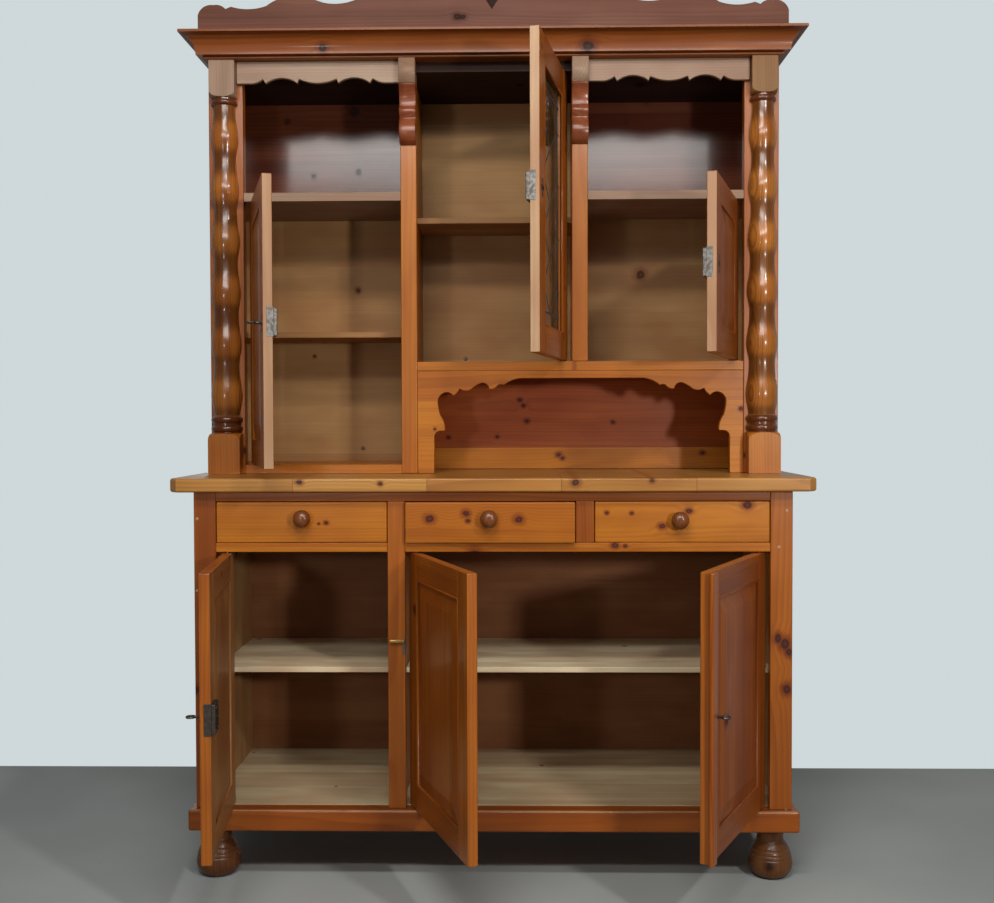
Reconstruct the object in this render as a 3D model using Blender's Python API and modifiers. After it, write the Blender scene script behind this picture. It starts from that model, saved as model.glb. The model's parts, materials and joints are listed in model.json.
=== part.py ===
"""Two-part pine buffet cabinet: a low cupboard with drawers under a hutch with turned columns.

Metres, +Z up. The front looks along -Y. The doors stand open and one drawer is drawn a little,
as the cabinet is shown; every door turns on a parent empty that lies on its pivot axis.
"""
import math

import bmesh
import bpy
from mathutils import Vector

# Clearances
GAP = 0.0003                 # between pieces that touch
PIVOT_SIDE_GAP = 0.0035      # door edge to the post it turns beside
FREE_SIDE_GAP = 0.0020       # door edge on the closing side
DOOR_END_GAP = 0.0025        # door to the boards above and below it
DRAWER_GAP = 0.0015          # drawer front to its opening

# Boards
PANEL_T = 0.020              # cupboard sides, partitions and dividers
FRAME_T = 0.022              # front frame boards
BACK_T = 0.012               # back panels
DECK_T = 0.015               # board that carries the drawers

# Base
BASE_W = 1.306
BASE_BACK_Y = 0.469          # rear face of the base back
FOOT_H = 0.115
FOOT_R = 0.0485
FOOT_COLLAR_R = 0.037
FOOT_NECK_R = 0.0285
FOOT_INSET_X = 0.0355        # foot axis in from the base side
FOOT_FRONT_Y = 0.053
FOOT_REAR_Y = 0.395
PLINTH_H = 0.047
PLINTH_OUT = 0.015           # base board in front of the frame and beside the base
PLINTH_CHAMFER = 0.005
DOOR_OPEN_H = 0.565          # height of the lower door openings
DRAWER_RAIL_H = 0.020
DRAWER_OPEN_H = 0.091
TOP_RAIL_H = 0.021
OUTER_STILE_W = 0.048
MID_STILE_X = -0.209
MID_STILE_W = 0.038
SHORT_STILE_X = 0.2025
SHORT_STILE_W = 0.040
BASE_SHELF_Z = 0.290         # shelf top above the base board
BASE_SHELF_T = 0.013
BASE_SHELF_SETBACK = 0.107

# Worktop
TOP_W = 1.400
TOP_T = 0.031
TOP_OUT = 0.030
TOP_CORNER = 0.017           # clipped front corners

# Drawers
DRAWER_FRONT_T = 0.020
DRAWER_WALL = 0.010
DRAWER_LENGTH = 0.400
DRAWER_BOX_DROP = 0.018      # box top below the opening's top
DRAWER_SIDE_PLAY = 0.004
KNOB_R = 0.0195
KNOB_LENGTH = 0.034
KNOB_DOWEL_R = 0.006
KNOB_DOWEL_L = 0.013
DRAWN_OUT = 0.014            # the middle drawer at rest
KNOB_SHIFT = {               # knob from the middle of its drawer front, across and up
    "left": (0.0045, 0.0094),
    "middle": (-0.0015, 0.0095),
    "right": (-0.0068, 0.0049),
}

# Hutch
HUTCH_W = 1.322
FACE_Y = 0.185               # front of the hutch frame, behind the base front
HUTCH_H = 0.955              # worktop to the underside of the cornice
HUTCH_BACK_Y = 0.470
POST_W = 0.0795              # corner post, from the outer side to the opening
POST_T = 0.027
LEFT_STILE_X = -0.196
RIGHT_STILE_X = 0.202
HUTCH_STILE_W = 0.037
CEILING_T = 0.0235
FLOOR_LEFT_T = 0.021
NICHE_H = 0.240              # worktop to the underside of the raised floor
FLOOR_RIGHT_T = 0.021
OPEN_SHELF_Z = 0.656         # top of the open shelves above the worktop
OPEN_SHELF_T = 0.020
INNER_SHELF_T = 0.014
LEFT_SHELF_Z = 0.338
CENTRE_SHELF_Z = 0.610
SHELF_SETBACK = 0.085        # inner shelves behind the frame front
SHELF_NOSE = 0.002           # open shelves behind the frame front
CLEAT_H = 0.055
CLEAT_T = 0.019

# Columns
COLUMN_X = 0.6235
BLANK_BOTTOM = 0.072         # width of the square blocks; half of it stands before the post
BLANK_TOP = 0.0585
SHAFT_LOW_R = 0.0368         # bobbins at the foot and the head of the shaft
SHAFT_TOP_R = 0.0312
BLOCK_BOTTOM_H = 0.095
BLOCK_TOP_H = 0.083
RING_H = 0.018
BOBBINS = 6
BOBBIN_WAIST = 0.0065        # how far each waist is cut in
BOBBIN_LEAN = 1.4            # over 1, each bobbin is fullest below its middle
HEAD_RING_R = 0.031
HEAD_RING_H = 0.013
BOBBIN_POINTS = 6
COLUMN_STEPS = 20

# Cornice, crest and applied ornament
CORNICE_H = 0.055
CORNICE_OUT = 0.049          # top edge in front of the columns and beside the hutch
CORNICE_BEAD_OUT = 0.005
CORNICE_BEAD_H = 0.007
CORNICE_COVE_OUT = 0.017     # foot of the cove
CORNICE_FILLET_H = 0.006
CORNICE_FLOOR_T = 0.020
CORNICE_RIM = 0.075
COVE_POINTS = 5
CREST_W = 1.350
CREST_T = 0.018
CREST_SETBACK = 0.042
CREST_PEAK = 0.135
VALANCE_T = 0.012
VALANCE_H = 0.050
CORBEL_W = 0.038
CORBEL_H = 0.192
CORBEL_OUT = 0.034
APRON_T = 0.018
APRON_LEG_LEFT = 0.0387
APRON_LEG_RIGHT = 0.0308
ARC_POINTS = 5

# Doors
DOOR_T = 0.021
DOOR_FRAME_W = 0.056
PANEL_MOULD = 0.012
PANEL_DEPTH = 0.008
PANEL_FLAT = 0.008
PANEL_BEVEL = 0.026
PANEL_RISE = 0.006
BACK_RECESS = 0.005
PIVOT_IN = 0.020             # pivot axis in from the door edge
PIN_R = 0.004
PIN_L = 0.009
PIN_PLAY = 0.0004
GLASS_T = 0.004
GLASS_LIP = 0.008
GLASS_SIGHT_W = 0.060        # frame width round the glass
GLASS_BACK = 0.010           # rebate depth behind the front lip
REST_OPEN = {                # door angle from closed, in degrees
    "lower_left_door": 83.0,
    "lower_middle_door": 68.5,
    "lower_right_door": 63.0,
    "upper_left_door": 73.0,
    "upper_glazed_door": 78.5,
    "upper_right_door": 72.3,
}

# Keys
KEY_R = 0.003
KEY_PLAY = 0.0004
KEY_FROM_EDGE = 0.030
KEY_OUT = 0.015
KEY_IN = 0.010
KEY_BOW_R = 0.0080
KEY_WIRE_R = 0.0022
KEY_BIT = (0.0035, 0.006, 0.011)

ROUND_STEPS = 16
PIN_STEPS = 12

# Heights and planes that follow from the sizes above
PLINTH_TOP = FOOT_H + PLINTH_H
RAIL_Z = PLINTH_TOP + DOOR_OPEN_H
DRAWER_Z = RAIL_Z + DRAWER_RAIL_H
DRAWER_TOP = DRAWER_Z + DRAWER_OPEN_H
BASE_TOP = DRAWER_TOP + TOP_RAIL_H
TOP_Z = BASE_TOP + TOP_T
BASE_INNER_Y = BASE_BACK_Y - BACK_T - GAP
BASE_HALF = BASE_W / 2
BASE_INNER_X = BASE_HALF - PANEL_T
STILE_X = BASE_HALF - OUTER_STILE_W
HUTCH_HALF = HUTCH_W / 2
HUTCH_INNER_X = HUTCH_HALF - PANEL_T
HUTCH_INNER_Y = HUTCH_BACK_Y - BACK_T - GAP
POST_X = HUTCH_HALF - POST_W
HUTCH_TOP = TOP_Z + HUTCH_H
CEILING_Z = HUTCH_TOP - CEILING_T
COLUMN_FRONT = FACE_Y - BLANK_TOP / 2
CORNICE_FRONT = COLUMN_FRONT - CORNICE_OUT
FLOOR_LEFT_TOP = TOP_Z + FLOOR_LEFT_T
FLOOR_RIGHT_Z = TOP_Z + NICHE_H
FLOOR_RIGHT_TOP = FLOOR_RIGHT_Z + FLOOR_RIGHT_T
SHELF_Z = TOP_Z + OPEN_SHELF_Z - OPEN_SHELF_T
CORNICE_TOP = HUTCH_TOP + CORNICE_H


def clear_scene():
    for old in list(bpy.data.objects):
        bpy.data.objects.remove(old, do_unlink=True)


def new_collection(name):
    collection = bpy.data.collections.new(name)
    bpy.context.scene.collection.children.link(collection)
    return collection


def new_material(name, colour, roughness, metallic=0.0, transmission=0.0):
    made = bpy.data.materials.new(name)
    made.use_nodes = True
    shader = made.node_tree.nodes["Principled BSDF"]
    shader.inputs["Base Color"].default_value = (*colour, 1.0)
    shader.inputs["Roughness"].default_value = roughness
    shader.inputs["Metallic"].default_value = metallic
    shader.inputs["Transmission Weight"].default_value = transmission
    return made


clear_scene()
PARTS = new_collection("buffet_cabinet")
CUTTERS = new_collection("cutters")
VARNISHED = new_material("varnished_pine", (0.42, 0.17, 0.035), 0.30)
RAW = new_material("raw_pine", (0.33, 0.21, 0.10), 0.70)
IRON = new_material("aged_iron", (0.08, 0.07, 0.06), 0.45, metallic=1.0)
GLASS = new_material("green_glass", (0.20, 0.30, 0.18), 0.15, transmission=0.8)
ORIGIN = bpy.data.objects.new("cabinet_origin", None)
PARTS.objects.link(ORIGIN)


def place(made, parent=None, location=(0, 0, 0), rotation=(0, 0, 0), collection=None):
    """Links an object to its collection and hangs it on its parent."""
    (collection or PARTS).objects.link(made)
    made.parent = parent or ORIGIN
    made.location = location
    made.rotation_euler = rotation
    return made


def mesh_object(name, bm, finish, parent=None, location=(0, 0, 0), rotation=(0, 0, 0)):
    mesh = bpy.data.meshes.new(name)
    bm.to_mesh(mesh)
    bm.free()
    if finish:
        mesh.materials.append(finish)
    return place(bpy.data.objects.new(name, mesh), parent, location, rotation)


def box_mesh(size):
    bm = bmesh.new()
    bmesh.ops.create_cube(bm, size=1.0)
    bmesh.ops.scale(bm, vec=size, verts=bm.verts)
    return bm


def span(low, high):
    return (low + high) / 2, high - low


def box(name, x, y, z, finish, parent=None):
    """A board from its low and high limits along each axis."""
    centres, sizes = zip(span(*x), span(*y), span(*z))
    return mesh_object(name, box_mesh(sizes), finish, parent, centres)


def as_cutter(made):
    """Marks an operand that shapes other pieces and is no piece itself."""
    for collection in list(made.users_collection):
        collection.objects.unlink(made)
    CUTTERS.objects.link(made)
    made.hide_render = True
    made.display_type = "WIRE"
    return made


def boolean(piece, operand, operation="DIFFERENCE"):
    as_cutter(operand)
    step = piece.modifiers.new(operand.name, "BOOLEAN")
    step.operation = operation
    step.object = operand
    step.solver = "EXACT"
    return piece


def rod(name, radius, z, xy=(0, 0), parent=None, steps=PIN_STEPS, finish=None):
    """An upright cylinder between two heights."""
    centre, height = span(*z)
    bm = bmesh.new()
    bmesh.ops.create_cone(
        bm, cap_ends=True, segments=steps, radius1=radius, radius2=radius, depth=height)
    return mesh_object(name, bm, finish, parent, (*xy, centre))


def arc(start, through, end, points=ARC_POINTS):
    """Points on the circle through three points, without the first one."""
    (ax, ay), (bx, by), (cx, cy) = start, through, end
    d = 2 * (ax * (by - cy) + bx * (cy - ay) + cx * (ay - by))
    a2, b2, c2 = ax * ax + ay * ay, bx * bx + by * by, cx * cx + cy * cy
    ox = (a2 * (by - cy) + b2 * (cy - ay) + c2 * (ay - by)) / d
    oy = (a2 * (cx - bx) + b2 * (ax - cx) + c2 * (bx - ax)) / d
    first, last = math.atan2(ay - oy, ax - ox), math.atan2(cy - oy, cx - ox)
    turn = (last - first) % math.tau
    if (math.atan2(by - oy, bx - ox) - first) % math.tau > turn:
        turn -= math.tau
    radius = math.hypot(ax - ox, ay - oy)
    angles = [first + turn * (i + 1) / points for i in range(points)]
    return [(ox + radius * math.cos(a), oy + radius * math.sin(a)) for a in angles]


def scallops(start, arcs, points=ARC_POINTS):
    """An outline of arcs, each given by a point on it and its end."""
    line = [start]
    for through, end in arcs:
        line += arc(line[-1], through, end, points)
    return line


PLAN = (0, 0, 0)
FRONT = (math.pi / 2, 0, 0)
SIDE = (math.pi / 2, 0, math.pi / 2)


def outline(name, points, thickness, facing, location, finish):
    """A flat board with the given outline, centred on its thickness."""
    curve = bpy.data.curves.new(name, "CURVE")
    curve.dimensions = "2D"
    curve.fill_mode = "BOTH"
    curve.extrude = thickness / 2
    spline = curve.splines.new("POLY")
    spline.points.add(len(points) - 1)
    for target, (u, v) in zip(spline.points, points):
        target.co = (u, v, 0, 1)
    spline.use_cyclic_u = True
    curve.materials.append(finish)
    return place(bpy.data.objects.new(name, curve), None, location, facing)


def solid_outline(name, points, thickness, facing, location, finish):
    """The same board as a welded mesh, ready to be cut."""
    drawn = outline(name + "_outline", points, thickness, facing, location, finish)
    graph = bpy.context.evaluated_depsgraph_get()
    mesh = bpy.data.meshes.new_from_object(drawn.evaluated_get(graph))
    bm = bmesh.new()
    bm.from_mesh(mesh)
    bmesh.ops.remove_doubles(bm, verts=bm.verts, dist=GAP / 10)
    bpy.data.objects.remove(drawn)
    bpy.data.meshes.remove(mesh)
    return mesh_object(name, bm, finish, None, location, facing)


def turned(name, profile, finish, parent=None, location=(0, 0, 0), rotation=(0, 0, 0), steps=ROUND_STEPS):
    """A lathe-turned solid; the profile of radius and height runs from top to bottom."""
    bm = bmesh.new()
    verts = [bm.verts.new((radius, 0, height)) for radius, height in profile]
    for upper, lower in zip(verts, verts[1:]):
        bm.edges.new((upper, lower))
    made = mesh_object(name, bm, finish, parent, location, rotation)
    screw = made.modifiers.new("turning", "SCREW")
    screw.axis = "Z"
    screw.steps = steps
    screw.render_steps = steps
    screw.use_merge_vertices = True
    screw.merge_threshold = 0.00005
    return made


def pivot_socket(board, x, y, face, up):
    """A blind hole for a door pin in the board above (up) or below a door."""
    depth = PIN_L + GAP
    limits = (face - GAP, face + depth) if up else (face - depth, face + GAP)
    hole = rod(f"{board.name}_socket_{len(board.modifiers)}", PIN_R + PIN_PLAY, limits, (x, y))
    return boolean(board, hole)


def build_feet():
    ball, collar = FOOT_H * 0.295, FOOT_H * 0.935
    profile = [(0, FOOT_H - GAP), (FOOT_COLLAR_R, FOOT_H - GAP), (FOOT_COLLAR_R, collar)]
    profile += arc(profile[-1], (FOOT_NECK_R, FOOT_H * 0.80), (FOOT_NECK_R * 1.06, FOOT_H * 0.69), 3)
    profile += arc(profile[-1], (FOOT_R * 0.875, FOOT_H * 0.47), (FOOT_R, ball), 4)
    profile += arc(profile[-1], (FOOT_R * 0.90, FOOT_H * 0.10), (FOOT_R * 0.64, 0.0), 3)
    profile += [(0, 0)]
    x = BASE_HALF - FOOT_INSET_X
    for depth, y in (("front", FOOT_FRONT_Y), ("rear", FOOT_REAR_Y)):
        for side, sign in (("left", -1), ("right", 1)):
            turned(f"foot_{depth}_{side}", profile, VARNISHED, None, (sign * x, y, 0))


def build_base_board():
    """The thick bottom board: its chamfered edge is the plinth and its top the cupboard floor."""
    x, y, z = BASE_HALF + PLINTH_OUT, (-PLINTH_OUT, BASE_BACK_Y), (FOOT_H, PLINTH_TOP)
    board = box("base_board", (-x, x), y, z, VARNISHED)
    bm = bmesh.new()
    bm.from_mesh(board.data)
    top = max(bm.faces, key=lambda face: face.calc_center_median().z)
    rear = max(top.edges, key=lambda edge: sum(v.co.y for v in edge.verts))
    edges = [edge for edge in top.edges if edge is not rear]
    bmesh.ops.bevel(bm, geom=edges, offset=PLINTH_CHAMFER, segments=1, affect="EDGES")
    bm.to_mesh(board.data)
    bm.free()
    return board


def build_base_case():
    z = (PLINTH_TOP + GAP, BASE_TOP - GAP)
    y = (FRAME_T + GAP, BASE_INNER_Y)
    for side, sign in (("left", -1), ("right", 1)):
        x = sorted((sign * BASE_HALF, sign * BASE_INNER_X))
        box(f"base_side_{side}", x, y, z, VARNISHED)
    back_y = (BASE_BACK_Y - BACK_T, BASE_BACK_Y)
    box("base_back", (-BASE_HALF, BASE_HALF), back_y, z, RAW)

    inner = BASE_INNER_X - GAP
    deck_z = DRAWER_Z - GAP - DECK_T
    box("drawer_deck", (-inner, inner), y, (deck_z, deck_z + DECK_T), RAW)
    wall = (MID_STILE_X - PANEL_T / 2, MID_STILE_X + PANEL_T / 2)
    box("base_partition", wall, y, (PLINTH_TOP + GAP, deck_z - GAP), RAW)
    for side, x in (("left", MID_STILE_X), ("right", SHORT_STILE_X)):
        limits = (x - PANEL_T / 2, x + PANEL_T / 2)
        box(f"drawer_divider_{side}", limits, y, (DRAWER_Z, BASE_TOP - GAP), RAW)

    top = PLINTH_TOP + BASE_SHELF_Z
    shelf_z, shelf_y = (top - BASE_SHELF_T, top), (BASE_SHELF_SETBACK, BASE_INNER_Y)
    box("base_shelf_left", (-inner, wall[0] - GAP), shelf_y, shelf_z, RAW)
    box("base_shelf_right", (wall[1] + GAP, inner), shelf_y, shelf_z, RAW)


def build_base_frame():
    """The front frame; returns the two rails that carry the lower doors' upper pins."""
    y = (0, FRAME_T)
    mid = (MID_STILE_X - MID_STILE_W / 2, MID_STILE_X + MID_STILE_W / 2)
    short = (SHORT_STILE_X - SHORT_STILE_W / 2, SHORT_STILE_X + SHORT_STILE_W / 2)
    full, inner = (PLINTH_TOP + GAP, BASE_TOP - GAP), STILE_X - GAP
    box("base_stile_left", (-BASE_HALF, -STILE_X), y, full, VARNISHED)
    box("base_stile_right", (STILE_X, BASE_HALF), y, full, VARNISHED)
    box("top_rail", (-inner, inner), y, (DRAWER_TOP, BASE_TOP - GAP), VARNISHED)
    box("mid_stile", mid, y, (PLINTH_TOP + GAP, DRAWER_TOP - GAP), VARNISHED)
    box("short_stile", short, y, (DRAWER_Z + GAP, DRAWER_TOP - GAP), VARNISHED)
    rail = (RAIL_Z, DRAWER_Z)
    left = box("drawer_rail_left", (-inner, mid[0] - GAP), y, rail, VARNISHED)
    right = box("drawer_rail_right", (mid[1] + GAP, inner), y, rail, VARNISHED)
    return left, right


def build_worktop():
    x, front, rear, clip = TOP_W / 2, -TOP_OUT, BASE_BACK_Y, TOP_CORNER
    points = [(-x, rear), (-x, front + clip), (-x + clip, front)]
    points += [(x - clip, front), (x, front + clip), (x, rear)]
    height = TOP_T - 2 * GAP
    outline("worktop", points, height, PLAN, (0, 0, BASE_TOP + TOP_T / 2), VARNISHED)


def build_drawer(place_name, x_low, x_high, drawn_out=0.0):
    """A dovetailed drawer and its knob, riding on one empty that slides along Y."""
    slide = bpy.data.objects.new(f"drawer_slide_{place_name}", None)
    place(slide, None, (0, -drawn_out, 0))
    x = (x_low + DRAWER_GAP, x_high - DRAWER_GAP)
    front_z = (DRAWER_Z + GAP, DRAWER_TOP - DRAWER_GAP)
    drawer = box(f"drawer_{place_name}", x, (0, DRAWER_FRONT_T), front_z, VARNISHED, slide)

    inner = (x[0] + DRAWER_SIDE_PLAY, x[1] - DRAWER_SIDE_PLAY)
    start = DRAWER_FRONT_T - DRAWER_WALL / 2
    box_z = (DRAWER_Z + GAP, DRAWER_TOP - DRAWER_BOX_DROP)
    name = drawer.name
    tray = box(f"{name}_tray", inner, (start, DRAWER_LENGTH), box_z, RAW, slide)
    bm = bmesh.new()
    bm.from_mesh(tray.data)
    top = [max(bm.faces, key=lambda face: face.calc_center_median().z)]
    bmesh.ops.inset_region(bm, faces=top, thickness=DRAWER_WALL, use_even_offset=True)
    floor = bmesh.ops.extrude_discrete_faces(bm, faces=top)["faces"]
    drop = box_z[0] - box_z[1] + DRAWER_WALL
    bmesh.ops.translate(bm, vec=(0, 0, drop), verts=[v for face in floor for v in face.verts])
    bm.to_mesh(tray.data)
    bm.free()
    boolean(drawer, tray, "UNION")

    aside, up = KNOB_SHIFT[place_name]
    centre = ((x_low + x_high) / 2 + aside, (front_z[0] + front_z[1]) / 2 + up)
    bore = turned(
        f"{name}_bore", [(0, GAP), (KNOB_DOWEL_R + GAP, GAP),
                         (KNOB_DOWEL_R + GAP, -KNOB_DOWEL_L - GAP), (0, -KNOB_DOWEL_L - GAP)],
        None, slide, (centre[0], 0, centre[1]), FRONT, PIN_STEPS)
    boolean(drawer, bore)
    build_knob(f"knob_{place_name}", slide, (centre[0], 0, centre[1]))


def build_knob(name, parent, location):
    neck, crown = KNOB_R * 0.55, KNOB_LENGTH
    widest = (KNOB_R, KNOB_LENGTH * 0.62)
    profile = [(0, crown)] + arc((0, crown), (KNOB_R * 0.72, KNOB_LENGTH * 0.89), widest, 4)
    profile += arc(widest, (KNOB_R * 0.90, KNOB_LENGTH * 0.46), (neck, KNOB_LENGTH * 0.33), 3)
    foot = KNOB_R * 0.72
    profile += [(neck, KNOB_LENGTH * 0.24), (foot, KNOB_LENGTH * 0.16), (foot, GAP)]
    profile += [(KNOB_DOWEL_R, GAP), (KNOB_DOWEL_R, -KNOB_DOWEL_L), (0, -KNOB_DOWEL_L)]
    turned(name, profile, VARNISHED, parent, location, FRONT)


def build_hutch_case():
    """Sides with their corner posts, and the partitions with their front stiles."""
    height = HUTCH_H - 2 * GAP
    middle = TOP_Z + HUTCH_H / 2
    for side, sign in (("left", -1), ("right", 1)):
        points = [(HUTCH_HALF, FACE_Y), (HUTCH_HALF, HUTCH_INNER_Y), (HUTCH_INNER_X, HUTCH_INNER_Y)]
        points += [(HUTCH_INNER_X, FACE_Y + POST_T), (POST_X, FACE_Y + POST_T), (POST_X, FACE_Y)]
        points = [(sign * x, y) for x, y in points]
        outline(f"hutch_side_{side}", points, height, PLAN, (0, 0, middle), VARNISHED)

    for side, x, low in (("left", LEFT_STILE_X, TOP_Z), ("right", RIGHT_STILE_X, FLOOR_RIGHT_TOP)):
        stile, panel, step = HUTCH_STILE_W / 2, PANEL_T / 2, FACE_Y + FRAME_T
        points = [(-stile, FACE_Y), (stile, FACE_Y), (stile, step), (panel, step)]
        points += [(panel, HUTCH_INNER_Y), (-panel, HUTCH_INNER_Y), (-panel, step), (-stile, step)]
        rise = CEILING_Z - low - 2 * GAP
        outline(
            f"hutch_partition_{side}", points, rise, PLAN, (x, 0, (CEILING_Z + low) / 2), VARNISHED)

    back_y = (HUTCH_BACK_Y - BACK_T, HUTCH_BACK_Y)
    box("hutch_back", (-HUTCH_HALF, HUTCH_HALF), back_y, (TOP_Z + GAP, HUTCH_TOP - GAP), RAW)


def notched_board(name, front, rear, notch, z, finish):
    """A shelf whose front is narrower than its rear, to pass between posts and stiles."""
    y = FACE_Y + SHELF_NOSE
    left, right = notch
    points = [(front[0] + GAP, y), (front[1] - GAP, y), (front[1] - GAP, right + GAP)]
    points += [(rear[1] - GAP, right + GAP), (rear[1] - GAP, HUTCH_INNER_Y)]
    points += [(rear[0] + GAP, HUTCH_INNER_Y), (rear[0] + GAP, left + GAP), (front[0] + GAP, left + GAP)]
    centre, height = span(*z)
    return solid_outline(name, points, height, PLAN, (0, 0, centre), finish)


def hutch_bays():
    """Front and rear limits of the left, centre and right bays."""
    stile, panel = HUTCH_STILE_W / 2, PANEL_T / 2
    front = {
        "left": (-POST_X, LEFT_STILE_X - stile),
        "centre": (LEFT_STILE_X + stile, RIGHT_STILE_X - stile),
        "right": (RIGHT_STILE_X + stile, POST_X),
    }
    rear = {
        "left": (-HUTCH_INNER_X, LEFT_STILE_X - panel),
        "centre": (LEFT_STILE_X + panel, RIGHT_STILE_X - panel),
        "right": (RIGHT_STILE_X + panel, HUTCH_INNER_X),
    }
    return front, rear


def build_ceiling(post_rear):
    """The board under the cornice, notched round both corner posts."""
    x, y, z = HUTCH_INNER_X - GAP, FACE_Y + SHELF_NOSE, (CEILING_Z, HUTCH_TOP - GAP)
    ceiling = box("hutch_ceiling", (-x, x), (y, HUTCH_INNER_Y), z, VARNISHED)
    for sign in (-1, 1):
        limits = sorted((sign * (POST_X - GAP), sign * HUTCH_HALF))
        notch = box(f"post_notch_{sign}", limits, (0, post_rear), (z[0] - PANEL_T, z[1] + PANEL_T), None)
        boolean(ceiling, notch)
    return ceiling


def build_hutch_boards():
    """Floors, shelves and ceiling; returns the boards that hold door pins."""
    front, rear = hutch_bays()
    post, stile = FACE_Y + POST_T, FACE_Y + FRAME_T
    shelf = (SHELF_Z, SHELF_Z + OPEN_SHELF_T)
    wide = (front["centre"][0], front["right"][1]), (rear["centre"][0], rear["right"][1])
    floor_right = (FLOOR_RIGHT_Z + GAP, FLOOR_RIGHT_TOP)
    held = {
        "floor_left": notched_board(
            "hutch_floor_left", front["left"], rear["left"], (post, stile),
            (TOP_Z + GAP, FLOOR_LEFT_TOP), VARNISHED),
        "floor_right": notched_board("hutch_floor_right", *wide, (stile, post), floor_right, VARNISHED),
        "shelf_left": notched_board(
            "open_shelf_left", front["left"], rear["left"], (post, stile), shelf, VARNISHED),
        "shelf_right": notched_board(
            "open_shelf_right", front["right"], rear["right"], (stile, post), shelf, VARNISHED),
    }
    held["ceiling"] = build_ceiling(post + GAP)

    y = (FACE_Y + SHELF_SETBACK, HUTCH_INNER_Y)
    for bay, height in (("left", LEFT_SHELF_Z), ("centre", CENTRE_SHELF_Z)):
        x = (rear[bay][0] + GAP, rear[bay][1] - GAP)
        top = TOP_Z + height
        box(f"inner_shelf_{bay}", x, y, (top - INNER_SHELF_T, top), RAW)

    x = (rear["centre"][0] + GAP, rear["right"][1] - GAP)
    box("back_cleat", x, (HUTCH_INNER_Y - CLEAT_T, HUTCH_INNER_Y), (TOP_Z + GAP, TOP_Z + CLEAT_H), VARNISHED)
    return held


def column_profile():
    """Radius and height from the top block down; the square faces come from the blank."""
    root = math.sqrt(2)
    rough, top, base = BLANK_BOTTOM, BLANK_TOP / 2, BLANK_BOTTOM / 2
    block, shoulder = HUTCH_H - BLOCK_TOP_H, top * (root - 1)
    profile = [(0, HUTCH_H - GAP), (rough, HUTCH_H - GAP), (rough, block + shoulder)]
    profile += [(top * root, block + shoulder)]
    profile += arc(profile[-1], (top * 1.28, block + shoulder * 0.42), (top * 0.94, block), 3)
    ring = block - 0.004
    profile += [(top * 0.90, ring), (HEAD_RING_R, ring - HEAD_RING_H * 0.35)]
    profile += [(HEAD_RING_R, ring - HEAD_RING_H * 0.70)]
    shaft_top = ring - HEAD_RING_H - 0.001
    shaft_low = BLOCK_BOTTOM_H + 2 * RING_H + 0.006
    count = BOBBINS * BOBBIN_POINTS
    for i in range(count + 1):
        share = i / count
        full = SHAFT_TOP_R + (SHAFT_LOW_R - SHAFT_TOP_R) * share
        run = i % BOBBIN_POINTS / BOBBIN_POINTS
        waist = (1 + math.cos(math.tau * run ** BOBBIN_LEAN)) / 2
        profile.append((full - BOBBIN_WAIST * waist, shaft_top + (shaft_low - shaft_top) * share))
    for upper in (BLOCK_BOTTOM_H + 2 * RING_H + 0.003, BLOCK_BOTTOM_H + RING_H):
        low, wide = upper - RING_H + 0.003, SHAFT_LOW_R
        start = (wide - 0.004, upper)
        profile.append(start)
        profile += arc(start, (wide, (upper + low) / 2), (wide - 0.004, low), 4)
    rise = base * (root - 1)
    profile.append((base * 0.94, BLOCK_BOTTOM_H))
    corner = (base * root, BLOCK_BOTTOM_H - rise)
    profile += arc(profile[-1], (base * 1.28, BLOCK_BOTTOM_H - rise * 0.42), corner, 3)
    profile += [(rough, BLOCK_BOTTOM_H - rise), (rough, GAP), (0, GAP)]
    return profile


def blank_profile():
    """Half diagonals of the square blank: narrow at both blocks, and clear of the shaft between."""
    root, past = math.sqrt(2), 0.01
    top, shaft, base = BLANK_TOP / 2 * root, BLANK_BOTTOM, BLANK_BOTTOM / 2 * root
    upper, lower = HUTCH_H - BLOCK_TOP_H - 0.002, BLOCK_BOTTOM_H + 0.0015
    profile = [(0, HUTCH_H + past), (top, HUTCH_H + past), (top, upper), (shaft, upper)]
    return profile + [(shaft, lower), (base, lower), (base, -past), (0, -past)]


def build_columns():
    """Half columns: turned, squared at both ends and split along the face of the post."""
    past = 2 * BLANK_BOTTOM
    for side, sign in (("left", -1), ("right", 1)):
        x = sign * COLUMN_X
        location = (x, FACE_Y, TOP_Z)
        column = turned(
            f"column_{side}", column_profile(), VARNISHED, None, location, steps=COLUMN_STEPS)
        blank = turned(
            f"column_blank_{side}", blank_profile(), None, None, location, (0, 0, math.pi / 4), 4)
        boolean(column, blank, "INTERSECT")
        split = box(
            f"column_split_{side}", (x - past, x + past), (FACE_Y - GAP, FACE_Y + past),
            (TOP_Z - past, HUTCH_TOP + past), None)
        boolean(column, split)


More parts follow.
